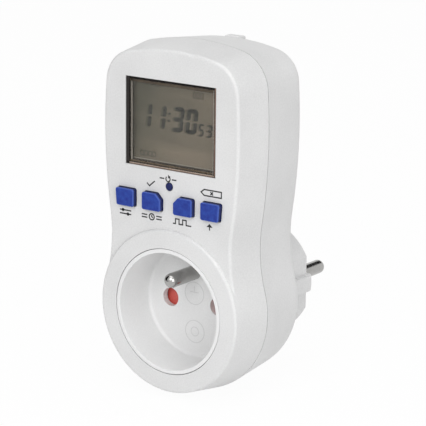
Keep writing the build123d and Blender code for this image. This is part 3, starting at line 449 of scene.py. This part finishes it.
# %% [markdown]
# ## Boards, cells and small parts inside
# These hide behind the shells, yet each has its own finish, so that a view with the cover taken
# off, or a section through the object, still looks right. A solder mask is a glossy lacquer with
# copper lines just showing under it. Lines in relief would cost thousands of faces, so a brick
# pattern lifts the colour where a line runs. A bare laminate shows its paper layers. A dipped
# or sleeved part is glossy and slightly wavy, which the plastic recipe gives when its grain is
# a few millimetres wide.

# %% Laminates
LAMINATE_IOR = 1.55


def circuit_laminate(name, board, line, roughness, pitch_mm):
    """A board whose lines run level, one pitch apart."""
    material = start_material(name)
    place = add(material, "ShaderNodeTexCoord").outputs["Object"]
    flat = add(material, "ShaderNodeMapping", {"Vector": place, "Rotation": (pi / 2, 0.0, 0.0)})
    tracks = add(material, "ShaderNodeTexBrick", {
        "Vector": flat.outputs["Vector"], "Color1": linear(board), "Color2": linear(board),
        "Mortar": linear(line), "Scale": 1.0, "Mortar Size": 0.12 * pitch_mm * MM,
        "Mortar Smooth": 0.1, "Brick Width": 3.1 * pitch_mm * MM, "Row Height": pitch_mm * MM})
    weave = add(material, "ShaderNodeTexNoise", {
        "Vector": place, "Scale": 1 / (0.4 * MM), "Detail": 2.0})
    bump = add(material, "ShaderNodeBump", {
        "Height": weave.outputs["Fac"], "Distance": 0.01 * MM, "Strength": 0.4})
    skin = add(material, "ShaderNodeBsdfPrincipled", {
        "Base Color": tracks.outputs["Color"], "Roughness": roughness, "IOR": LAMINATE_IOR,
        "Normal": bump.outputs["Normal"]})
    add(material, "ShaderNodeOutputMaterial", {"Surface": skin.outputs["BSDF"]})
    return material


FINISH |= {
    # Glossy green lacquer on the display's board, duller brown paper on the relay's.
    "board_green": circuit_laminate("laminate_green_solder_mask", "1E6B3C", "3F9A5E", 0.25, 2.2),
    "board_tan": circuit_laminate("laminate_paper_phenolic", "C0935A", "A67A44", 0.4, 3.4),
}
print("board finishes:", FINISH["board_green"].name, FINISH["board_tan"].name)

# %% Dipped, sleeved and fired parts
FINISH |= {
    # A drop of resin sets with a wet shine.
    "resin_black": moulded_plastic(
        "epoxy_dropped_black", "202022", "161618", 0.12, 2.5, 0.05, 3.0),
    # Shrunk film, tight and glossy.
    "can_sleeve": moulded_plastic(
        "pet_shrink_sleeve_navy", "1E2438", "171C2C", 0.22, 1.8, 0.03, 4.0),
    # A dipped coat runs a little, so its shine is wavy.
    "varistor_blue": moulded_plastic(
        "epoxy_dipped_blue", "2A5CAC", "214E98", 0.25, 1.6, 0.05, 3.0),
    # Cement dries dull and rough.
    "resistor_body": moulded_plastic(
        "cement_coated_green_grey", "A5B8B0", "93A69E", 0.5, 0.5, 0.02, 2.0),
    # Fired ceramic is dense, with a low satin shine.
    "chip_ceramic": moulded_plastic(
        "ceramic_fired_brown", "8B7866", "776654", 0.4, 0.3, 0.01, 1.0),
}
print("all finishes:", len(FINISH))

# %% [markdown]
# ## Every part gets its finish
# The CAD model says for each part which finish it has, as a short word, and each solid comes
# with a place for a material. So handing out the finishes takes one loop. Giving each part its
# material by hand would do too, but then a part that is added later could be forgotten.

# %% Hand out the finishes
for part in frame["record"]["subparts"]:
    solid = frame["nodes"][part["node"]]
    for place in solid.material_slots:
        place.material = FINISH[part["material_slot"]]

# %% [markdown]
# ## Thin printed shapes
# The key legends are pad printed, a film of ink 0.02 mm thick, and the numerals are shapes in
# the glass. Both are flat outlines with a little thickness. Text objects would need a font, and
# curves would need many points, so two helpers make them from corner points: one fills a
# polygon, one lays a stroke of even width along a line, as a pen does. A third turns the corners
# into a piece of the object. Sketches use (x, z) in millimetres, and the front face of each
# shape looks at the user.

# %% Fill a polygon, lay a stroke
SHARPEST_MITRE = 0.3  # keeps the point of a sharp corner short
SAME_PLACE = 1e-9  # mm; closer points have no direction between them


def corner(mesh, x, z, y):
    return mesh.verts.new((x * MM, y, z * MM))


def fill(mesh, points, front, thickness):
    """A flat tile: the front polygon and its edge walls."""
    near = [corner(mesh, x, z, front) for x, z in points]
    far = [corner(mesh, x, z, front + thickness) for x, z in points]
    mesh.faces.new(near)
    for i in range(len(points)):
        j = (i + 1) % len(points)
        mesh.faces.new((near[j], near[i], far[i], far[j]))


def stroke(mesh, points, width, front, thickness, closed=False):
    """A line of even width with mitred corners."""
    count, sides = len(points), []
    for i, (x, z) in enumerate(points):
        before = points[i - 1] if closed or i else points[i]
        after = points[(i + 1) % count] if closed or i < count - 1 else points[i]
        normals = []
        for a, b in ((before, (x, z)), ((x, z), after)):
            run = Vector((b[0] - a[0], b[1] - a[1]))
            if run.length > SAME_PLACE:
                normals.append(Vector((-run.y, run.x)).normalized())
        mitre = sum(normals, Vector((0.0, 0.0))) / len(normals)
        mitre *= width / 2 / max(mitre.length_squared, SHARPEST_MITRE)
        sides.append(((x + mitre.x, z + mitre.y), (x - mitre.x, z - mitre.y)))
    rows = [[corner(mesh, *side, y) for side in pair for y in (front, front + thickness)]
            for pair in sides]
    for i in range(count if closed else count - 1):
        a, b = rows[i], rows[(i + 1) % count]
        for p, q in ((0, 2), (1, 0), (2, 3)):
            mesh.faces.new((a[p], b[p], b[q], a[q]))
    if not closed:
        for end in (rows[0], rows[-1]):
            mesh.faces.new((end[0], end[1], end[3], end[2]))


def finish_piece(name, mesh, material, body):
    """Turns the sketch into an object of the scene that rides on a body."""
    bmesh.ops.recalc_face_normals(mesh, faces=mesh.faces)
    data = bpy.data.meshes.new(name)
    mesh.to_mesh(data)
    mesh.free()
    data.materials.append(material)
    piece = bpy.data.objects.new(name, data)
    bpy.context.scene.collection.objects.link(piece)
    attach(piece, body)
    print(name, "has", len(data.polygons), "faces")
    return piece


# %% [markdown]
# ## The numerals of the display
# Each figure has seven bars, and a code says which are lit. The bars are tapered at their ends,
# so that they meet in mitres with a quarter of a millimetre of glass between them, and the
# uprights are cut flatter where they meet at half height. The whole figure leans seven degrees,
# as on most clocks. The bars float in the glass above the reflector, so each throws a soft shade
# on it, which a user who looks in from the right sees a little to the left of the bar. A shade
# that is worked out by the light alone would be lost in the noise of so thin a gap. So it is a
# second set of shapes, slightly larger, 0.75 mm to the left and just darker than the reflector.

# %% Seven bars for one figure
LIT = {0: "abcdef", 1: "bc", 3: "abcdg", 5: "acdfg"}
SLANT = tan(radians(7))


def bars(figure, left, low, width, height, bar, gap, grow=0.0):
    """Corner points of the lit bars, leaning about the figure's upper edge."""
    high, middle, right, half = low + height, low + height / 2, left + width, bar / 2

    def across(z):
        first, last = left + gap, right - gap
        return [(first, z), (first + half, z + half), (last - half, z + half), (last, z),
                (last - half, z - half), (first + half, z - half)]

    def upright(x, bottom, top, inside):
        foot = bottom + gap + (half / 3 if bottom == middle else half)
        head = top - gap - (half / 3 if top == middle else half)
        return [(x, foot), (x, head), (x + inside * half, top - gap), (x + inside * bar, head),
                (x + inside * bar, foot), (x + inside * half, bottom + gap)]

    shapes = {
        "a": across(high - half), "g": across(middle), "d": across(low + half),
        "f": upright(left, middle, high, 1), "e": upright(left, low, middle, 1),
        "b": upright(right, middle, high, -1), "c": upright(right, low, middle, -1),
    }
    for letter in LIT[figure]:
        points = shapes[letter]
        cx = sum(p[0] for p in points) / len(points)
        cz = sum(p[1] for p in points) / len(points)
        spread = [(x + grow * (1 if x > cx else -1), z + grow * (1 if z > cz else -1))
                  for x, z in points]
        yield [(x - (high - z) * SLANT, z) for x, z in spread]


glass_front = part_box("lcd_panel")[0].y
hours_low, hours_high = 57.7, 65.85
big = {"low": hours_low, "width": 4.2, "height": hours_high - hours_low, "bar": 1.4, "gap": 0.24}
small = {"low": 57.5, "width": 2.0, "height": 4.1, "bar": 0.66, "gap": 0.2}
# Each figure of the reading: its number, its left edge and its style.
FIGURES = [(1, -12.6, big), (1, -7.0, big), (3, 0.0, big), (0, 5.3, big),
           (5, 9.8, small), (3, 13.0, small)]
print("the large numerals are", round(hours_high - hours_low, 2), "mm tall")

# %% The clock reading, and its shade on the reflector
SEGMENT_DEEP = 0.012 * MM
shade_front = glass_front - 0.014 * MM
lit_front = glass_front - 0.03 * MM
COLON_X, COLON_HEIGHTS, COLON_HALF = -1.5, (60.95, 63.25), 0.36


def reading(name, material, front, shift, grow):
    """The whole reading, moved by shift and with every shape grown by a share of its bar."""
    mesh = bmesh.new()
    dx, dz = shift
    for figure, left, style in FIGURES:
        for shape in bars(figure, left, grow=grow * style["bar"], **style):
            fill(mesh, [(x + dx, z + dz) for x, z in shape], front, SEGMENT_DEEP)
    half = COLON_HALF + grow
    square = [(-half, -half), (half, -half), (half, half), (-half, half)]
    for z in COLON_HEIGHTS:
        x = COLON_X - (hours_high - z) * SLANT
        fill(mesh, [(x + px + dx, z + pz + dz) for px, pz in square], front, SEGMENT_DEEP)
    return finish_piece(name, mesh, material, "casing")


reading("numerals_shade", segment_shade, shade_front, (-0.75, -0.12), 0.02)
reading("numerals_lit", segment_dark, lit_front, (0.0, 0.0), 0.0)

# %% [markdown]
# ## Small display symbols
# Above the reading, a week bar of three outlined fields tells the day, and below it a gauge of
# four outlined fields tells the mode. Filled fields would read as the main thing on the display,
# so they are thin outlines. Both are faint, because from the side their crystals look only half
# turned, so they use the shade's tone rather than the full dark.

# %% Week bar and mode gauge
# Each row: fields, left edge, pitch, width of a field, its low and high edge, width of the line.
SYMBOLS = [(3, 7.3, 1.45, 0.85, 69.4, 71.2, 0.5), (4, -13.35, 1.6, 1.15, 48.65, 50.05, 0.42)]
mesh = bmesh.new()
for fields, left, pitch, width, low, high, line in SYMBOLS:
    for step in range(fields):
        x = left + pitch * step
        outline = [(x, low), (x + width, low), (x + width, high), (x, high)]
        stroke(mesh, outline, line, shade_front, SEGMENT_DEEP, closed=True)
finish_piece("display_symbols", mesh, segment_shade, "casing")

# %% [markdown]
# ## Key legends
# Each key has a printed sign. The signs are drawings rather than words: sliders to set, a clock,
# a switching pattern for the program, an arrow up, a tick to agree, a crossed field to clear and
# a round arrow to start again. An image could print them too, but its dots would show up close,
# and it would need the cover laid out flat. The ink is a nearly black, matt film that lies on
# the cover's front face, which the display holder's front gives: it stands 0.15 mm behind that
# face.

# %% The ink and the signs
ink = moulded_plastic("pad_printing_ink_black", "1E1E20", "18181A", 0.55, 0.3, 0.004, 2.0)
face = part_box("lcd_frame")[0].y - 0.15 * MM
PEN = 0.42  # mm, the width of a printed line
INK_FILM = 0.02 * MM


def ring(x, z, radius, start=0.0, sweep=360.0, steps=28):
    """Points along a circle, or along a part of one, with both its ends."""
    angles = [start + sweep * i / steps for i in range(steps + (0 if sweep == 360.0 else 1))]
    return [(x + radius * cos(radians(a)), z + radius * sin(radians(a))) for a in angles]


def legend(name, x, z, lines, loops=(), dots=()):
    """One sign round the point (x, z): open lines, closed loops and filled dots."""
    mesh = bmesh.new()
    lay = (PEN, face - INK_FILM, INK_FILM)
    for line in lines:
        stroke(mesh, [(x + px, z + pz) for px, pz in line], *lay)
    for loop in loops:
        stroke(mesh, [(x + px, z + pz) for px, pz in loop], *lay, closed=True)
    for dot in dots:
        fill(mesh, [(x + px, z + pz) for px, pz in dot], face - INK_FILM, INK_FILM)
    return finish_piece(name, mesh, ink, "casing")


legend("legend_set", -17.7, 29.45, [[(-2.3, 0.6), (2.3, 0.6)], [(-2.3, -0.6), (2.3, -0.6)]],
       dots=[ring(-1.0, 0.6, 0.55), ring(1.0, -0.6, 0.55)])
legend("legend_clock", -7.1, 29.45,
       [[(0, 0.65), (0, 0), (0.5, -0.25)], [(-4.0, 0.45), (-1.8, 0.45)],
        [(-4.0, -0.45), (-1.8, -0.45)], [(1.8, 0.45), (4.0, 0.45)],
        [(1.8, -0.45), (4.0, -0.45)]], [ring(0, 0, 1.0)])
legend("legend_program", 4.95, 29.5,
       [[(-3.6, -0.8), (-2.6, -0.8), (-2.6, 0.8), (-1.2, 0.8), (-1.2, -0.8), (0.2, -0.8),
         (0.2, 0.8), (1.6, 0.8), (1.6, -0.8), (3.6, -0.8)]])
legend("legend_up", 15.65, 29.55, [[(0, -1.0), (0, 0.2)]],
       dots=[[(-1.2, 0.0), (1.2, 0.0), (0, 1.1)]])
legend("legend_agree", -7.55, 40.3, [[(-1.5, 0.1), (-0.5, -0.8), (1.6, 1.0)]])
legend("legend_restart", -0.7, 42.7,
       [ring(0, 0, 0.82, 60, -290), [(-3.3, 0), (-1.5, 0)], [(1.5, 0), (3.3, 0)]],
       dots=[[(0.05, 1.4), (1.0, 0.8), (0.05, 0.2)]])
legend("legend_clear", 16.25, 40.5, [[(-0.4, -0.5), (0.6, 0.5)], [(-0.4, 0.5), (0.6, -0.5)]],
       [[(-4.0, 0), (-2.8, 0.95), (3.8, 0.95), (3.8, -0.95), (-2.8, -0.95)]])

# %% [markdown]
# ## Steps inside the display frame
# Between the cover and the display glass the dark frame goes down in narrow steps. Under the
# window and at its right the steps face the lamps, and each is painted as a fine brown or pale
# line, a painted highlight. Over the window they lie in the cover's shade and are painted olive
# or dark, as painted shade. At the left the border is broad and painted nearly black as deep
# painted shade, with the pale cut edge of the film behind it, which carries a painted highlight
# too. All strips face the front alike, so the tones, not the lamps, make these differences. The
# lines are 0.16 to 1.3 mm wide. A stripe texture on a slope could draw them, but all at one
# depth, so they wouldn't shift against each other when the eye moves. So they are real ledges:
# straight strips, each at its own depth. One table gives every ledge by its side, its distance
# from the edge of the opening, its width, its depth and its finish.

# %% Ledges, each a strip along one side of the opening
# Painted light: these tones stand for how much light each flat strip gets. Brown and pale are
# painted highlights, the film's cut edge is pale partly as a painted highlight, and olive, dark
# and black are painted shade.
ledge_brown = moulded_plastic(
    "abs_moulded_brown_lit_ledge", "7A6255", "624E44", 0.35, 0.4, 0.004, 5.0)
ledge_pale = moulded_plastic(
    "abs_moulded_brown_painted_highlight", "AFA091", "8F8175", 0.3, 0.4, 0.004, 5.0)
ledge_olive = moulded_plastic(
    "abs_moulded_olive_brown_ledge", "6E604E", "57493C", 0.35, 0.4, 0.004, 5.0)
ledge_dark = moulded_plastic(
    "abs_moulded_brown_in_shade", "463C34", "362E28", 0.4, 0.4, 0.004, 5.0)
ledge_black = moulded_plastic(
    "abs_moulded_brown_in_deep_shade", "201A17", "191411", 0.5, 0.4, 0.004, 5.0)
film_edge_and_highlight = moulded_plastic(
    "triacetate_film_cut_edge_painted_highlight", "9C9690", "8A847E", 0.3, 0.4, 0.003, 5.0)

pane_low, pane_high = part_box("display_window")
rim = 0.7  # mm, the collar's own front edge, beside the clear window
edges = {"left": pane_low.x / MM - rim, "right": pane_high.x / MM + rim,
         "low": pane_low.z / MM - rim, "high": pane_high.z / MM + rim}
STRIP = 0.03 * MM
# Where a strip's front lies: on the collar, behind the window or before the display glass.
depths = {"front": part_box("lcd_frame")[0].y - STRIP, "pane": pane_high.y - 0.04 * MM,
          "glass": glass_front - 0.06 * MM}
LEDGES = [
    ("bottom", 0.0, 0.3, "front", ledge_brown), ("bottom", 0.3, 0.3, "front", ledge_pale),
    ("bottom", 0.75, 0.45, "pane", ledge_olive), ("bottom", 1.1, 0.45, "glass", ledge_dark),
    ("bottom", 1.5, 0.36, "glass", film_edge_and_highlight),
    ("left", 0.0, 1.3, "front", ledge_black), ("left", 1.1, 0.8, "pane", film_edge_and_highlight),
    ("right", 0.0, 0.5, "front", ledge_brown), ("right", 0.8, 0.16, "front", film_edge_and_highlight),
    ("top", 0.85, 0.8, "pane", ledge_olive), ("top", 1.9, 0.18, "glass", ledge_dark),
]


def ledge(mesh, side, inset, width, front):
    """A strip of the opening's full length, one inset away from a side."""
    left, right = edges["left"] + inset, edges["right"] - inset
    low, high = edges["low"] + inset, edges["high"] - inset
    x0, x1, z0, z1 = {
        "bottom": (left, right, low, low + width), "top": (left, right, high - width, high),
        "left": (left, left + width, low, high), "right": (right - width, right, low, high),
    }[side]
    fill(mesh, [(x0, z0), (x1, z0), (x1, z1), (x0, z1)], front, STRIP)


for number, (side, inset, width, depth, material) in enumerate(LEDGES):
    mesh = bmesh.new()
    ledge(mesh, side, inset, width, depths[depth])
    finish_piece("frame_ledge_" + str(number + 1), mesh, material, "casing")

# %% [markdown]
# ## Marks of the moulding tool
# Two round inserts of the tool leave faint rings on the floor of the socket. They are 7.5 mm
# across and stand up by a few hundredths of a millimetre, and they are drawn a little greyer
# than the floor. A bump texture could draw them, but real rings throw their own small shade from
# every side, so they are real geometry in a greyer tone of the same ABS. The floor's depth comes
# from the socket holes, whose positions the model states.

# %% Rings on the socket floor
UPPER_MARK, LOWER_MARK = (0.05, 2.2), (0.35, -10.7)
MARK_RADIUS, INNER_RADIUS = 3.75, 1.5
floor_y = next(m["pos_m"][1] for m in frame["record"]["mounts"] if m["name"] == "socket_hole_left")
raised = (0.24, floor_y - 0.06 * MM, 0.07 * MM)  # width of the ridge, its front, its thickness
mesh = bmesh.new()
for mark in (UPPER_MARK, LOWER_MARK):
    stroke(mesh, ring(*mark, MARK_RADIUS, steps=64), *raised, closed=True)
# A bar with a short stem inside the upper ring, a small ring inside the lower one.
stroke(mesh, [(-1.6, 2.6), (1.7, 2.6)], *raised)
stroke(mesh, [(0.05, 2.8), (0.05, 4.6)], *raised)
stroke(mesh, ring(*LOWER_MARK, INNER_RADIUS, steps=40), *raised, closed=True)
witness = moulded_plastic("abs_moulded_witness_line", "D6D6D6", "D0D0D0", 0.4, 0.5, 0.004)
finish_piece("tool_marks_socket", mesh, witness, "casing")

# %% [markdown]
# ## The shutter's return spring
# Under the shutter's lug stands a small coil of drawn steel wire. When a plug turns the shutter,
# the lug presses the coil together, and a rigid solid can't follow that. So a coil of the same
# size stands in for it here. The wire is swept along a helix: a ring of corners at each step,
# across the wire, joined to the ring before. A curve with a round bevel would make the same tube,
# but it would have no mesh corners of its own. The first and last turns close up, as they do on
# a spring that is wound to stand level.

# %% Wind the coil
wire_radius = 0.2 * MM
TURNS, STEPS, SIDES = 5, 28, 8  # turns of the coil, rings in a turn, corners in a ring
CLOSING = 0.06  # how far the end turns close up, as a share of the rise
foot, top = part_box("shutter_spring")
middle = (foot + top) / 2
coil_radius = (top.x - foot.x) / 2 - wire_radius
rise = top.z - foot.z - 2 * wire_radius

round_the_wire = [2 * pi * k / SIDES for k in range(SIDES)]
mesh, rings = bmesh.new(), []
for i in range(TURNS * STEPS + 1):
    share = i / (TURNS * STEPS)
    angle = 2 * pi * TURNS * share
    height = foot.z + wire_radius + rise * (share - CLOSING * sin(2 * pi * share))
    out = Vector((cos(angle), sin(angle), 0.0))
    along = Vector((-sin(angle) * coil_radius, cos(angle) * coil_radius,
                    rise / (2 * pi * TURNS))).normalized()
    over = along.cross(out)
    centre = Vector((middle.x, middle.y, height)) + out * coil_radius
    rings.append([mesh.verts.new(centre + wire_radius * (out * cos(a) + over * sin(a)))
                  for a in round_the_wire])
for before, after in zip(rings, rings[1:]):
    for k in range(SIDES):
        mesh.faces.new((before[k - 1], before[k], after[k], after[k - 1]))
mesh.faces.new(rings[0])
mesh.faces.new(rings[-1])
coil = finish_piece("return_spring_coil", mesh, FINISH["spring_steel"], "casing")
for face in coil.data.polygons:
    face.use_smooth = True
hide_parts("shutter_spring")
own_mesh(coil)

# %% [markdown]
# ## Floor and background
# The floor is matt white card. Its shadow under the object is real, but a white card that is
# lit as softly as this one comes out light grey, so for the camera most of its light is a plain
# white of strength one. The world does the same: rays from the camera, and those that a shiny or
# clear surface sends on, meet white. All other rays meet a softer grey, which is the room light.
# A brighter lamp would whiten the card too, but then the pale casing would lose its shape.

# %% White card
CARD_REACH = 4.0  # metres from the middle to a side
CARD_GLOW = 0.96  # share of plain white in what the camera sees of the card
floor = solid_box[0][2]


def flat_card(name, corners, material):
    """A board that belongs to the studio, not to the object."""
    data = bpy.data.meshes.new(name)
    data.from_pydata(corners, [], [tuple(range(len(corners)))])
    data.materials.append(material)
    card = bpy.data.objects.new(name, data)
    bpy.context.scene.collection.objects.link(card)
    return card


def seen_by_lens(owner):
    """One for rays of the camera and those that shiny or clear surfaces send on, else nought."""
    ray = add(owner, "ShaderNodeLightPath").outputs
    seen = add(owner, "ShaderNodeMath", {
        0: ray["Is Camera Ray"], 1: ray["Is Glossy Ray"]}, operation="ADD")
    return add(owner, "ShaderNodeMath", {0: seen.outputs[0], 1: ray["Is Transmission Ray"]},
               operation="ADD", use_clamp=True).outputs[0]


card_white = start_material("card_matt_white")
fibre = add(card_white, "ShaderNodeTexNoise", {
    "Vector": add(card_white, "ShaderNodeTexCoord").outputs["Object"],
    "Scale": 900.0, "Detail": 2.0})  # a fibre every 1.1 mm
fibre_bump = add(card_white, "ShaderNodeBump", {
    "Height": fibre.outputs["Fac"], "Distance": 0.02 * MM, "Strength": 0.2})
matt = add(card_white, "ShaderNodeBsdfDiffuse", {
    "Color": linear("F4F4F4"), "Normal": fibre_bump.outputs["Normal"]})
plain = add(card_white, "ShaderNodeEmission", {"Color": linear("FFFFFF"), "Strength": 1.0})
glow = add(card_white, "ShaderNodeMath", {0: seen_by_lens(card_white), 1: CARD_GLOW},
           operation="MULTIPLY")
card_mix = add(card_white, "ShaderNodeMixShader", {
    0: glow.outputs[0], 1: matt.outputs["BSDF"], 2: plain.outputs["Emission"]})
add(card_white, "ShaderNodeOutputMaterial", {"Surface": card_mix.outputs["Shader"]})

under = floor - 0.2 * MM  # the object doesn't quite touch the card
flat_card("card", [(-CARD_REACH, -CARD_REACH, under), (CARD_REACH, -CARD_REACH, under),
                   (CARD_REACH, CARD_REACH, under), (-CARD_REACH, CARD_REACH, under)], card_white)
print("the object's lowest point is at", round(floor / MM, 2), "mm")

# %% World
ROOM_LIGHT = 0.5
world = bpy.data.worlds.new("studio")
world.use_nodes = True
world.node_tree.nodes.clear()
room = add(world, "ShaderNodeBackground", {"Color": linear("FFFFFF"), "Strength": ROOM_LIGHT})
white = add(world, "ShaderNodeBackground", {"Color": linear("FFFFFF"), "Strength": 1.0})
world_mix = add(world, "ShaderNodeMixShader", {
    0: seen_by_lens(world), 1: room.outputs["Background"], 2: white.outputs["Background"]})
add(world, "ShaderNodeOutputWorld", {"Surface": world_mix.outputs["Shader"]})
bpy.context.scene.world = world
print("room light:", ROOM_LIGHT)

# %% [markdown]
# ## Soft boxes
# Three large soft boxes light the object. One stands to the right, level with it, and its
# reflection runs down the rounded right edge. One stands in front and above, and reaches into
# the socket. One hangs overhead and lights the crown and the floor. Small lamps would be
# simpler, but they would draw hard shadows and small hot spots. A box's power is worked out from
# the light that a white surface in front of it should give back, so its distance can change
# without the view getting brighter.

# %% Hang the soft boxes
AIM = Vector((0.0, -0.03, 0.03))  # the middle of the object


def soft_box(name, direction, distance, size, level):
    """level is how bright a white surface that faces the box looks, where one is white."""
    data = bpy.data.lights.new(name, "AREA")
    data.shape = "RECTANGLE"
    data.size, data.size_y = size
    data.energy = level * pi * pi * distance * distance
    box = bpy.data.objects.new(name, data)
    way = Vector(direction).normalized()
    box.location = AIM + way * distance
    box.rotation_euler = way.to_track_quat("Z", "Y").to_euler()
    bpy.context.scene.collection.objects.link(box)
    print(name, "gives", round(data.energy, 2), "W")


# Each box: where it hangs as seen from the object, how far off and how large in metres, level.
soft_box("box_right", (0.78, -0.58, 0.12), 0.95, (0.45, 0.9), 0.36)
soft_box("box_front", (0.22, -0.86, 0.55), 1.2, (0.6, 0.6), 0.265)
soft_box("box_above", (0.1, -0.1, 1.0), 1.1, (1.0, 1.0), 0.36)

# %% [markdown]
# ## Dark cards
# Bright metal only looks like metal when it has something dark to mirror. A studio sets black
# card beside the lamps for that. Here three cards show in reflections alone: one at the left and
# one behind, for the pins, and one on the floor in front at the left, for the clear window. They
# cast no shadow and take no light from the plastic, so the white parts stay as they are. A darker
# world would do the same to the metal, but it would grey the whole casing.

# %% Set up the cards
card_black = start_material("card_matt_black")
fibre = add(card_black, "ShaderNodeTexNoise", {
    "Vector": add(card_black, "ShaderNodeTexCoord").outputs["Object"],
    "Scale": 300.0, "Detail": 2.0})  # a speck every 3.3 mm
shade = add(card_black, "ShaderNodeMix", {
    "Factor": fibre.outputs["Fac"], "A": linear("1C1C1C"), "B": linear("242424")},
    data_type="RGBA")
dull = add(card_black, "ShaderNodeBsdfDiffuse", {"Color": shade.outputs["Result"]})
add(card_black, "ShaderNodeOutputMaterial", {"Surface": dull.outputs["BSDF"]})

over = floor + 1 * MM
DARK_CARDS = {
    "card_left": [(-1.0, -1.2, 0.0), (-1.0, 0.9, 0.0), (-1.0, 0.9, 1.6), (-1.0, -1.2, 1.6)],
    "card_behind": [(-1.0, 1.3, 0.8), (1.2, 1.3, 0.8), (1.2, 0.7, 1.6), (-1.0, 0.7, 1.6)],
    "card_low": [(-1.4, -1.3, over), (-0.12, -1.3, over), (-0.12, -0.2, over), (-1.4, -0.2, over)],
}
for name, corners in DARK_CARDS.items():
    board = flat_card(name, corners, card_black)
    board.visible_camera = board.visible_diffuse = False
    board.visible_shadow = board.visible_transmission = False
print("dark cards set:", len(DARK_CARDS))

# %% [markdown]
# ## View
# A film-like view bends bright tones down, which suits a sunny street but would grey the white
# card. The standard view shows each tone as it was worked out.

bpy.context.scene.view_settings.view_transform = "Standard"
bpy.context.view_layer.update()
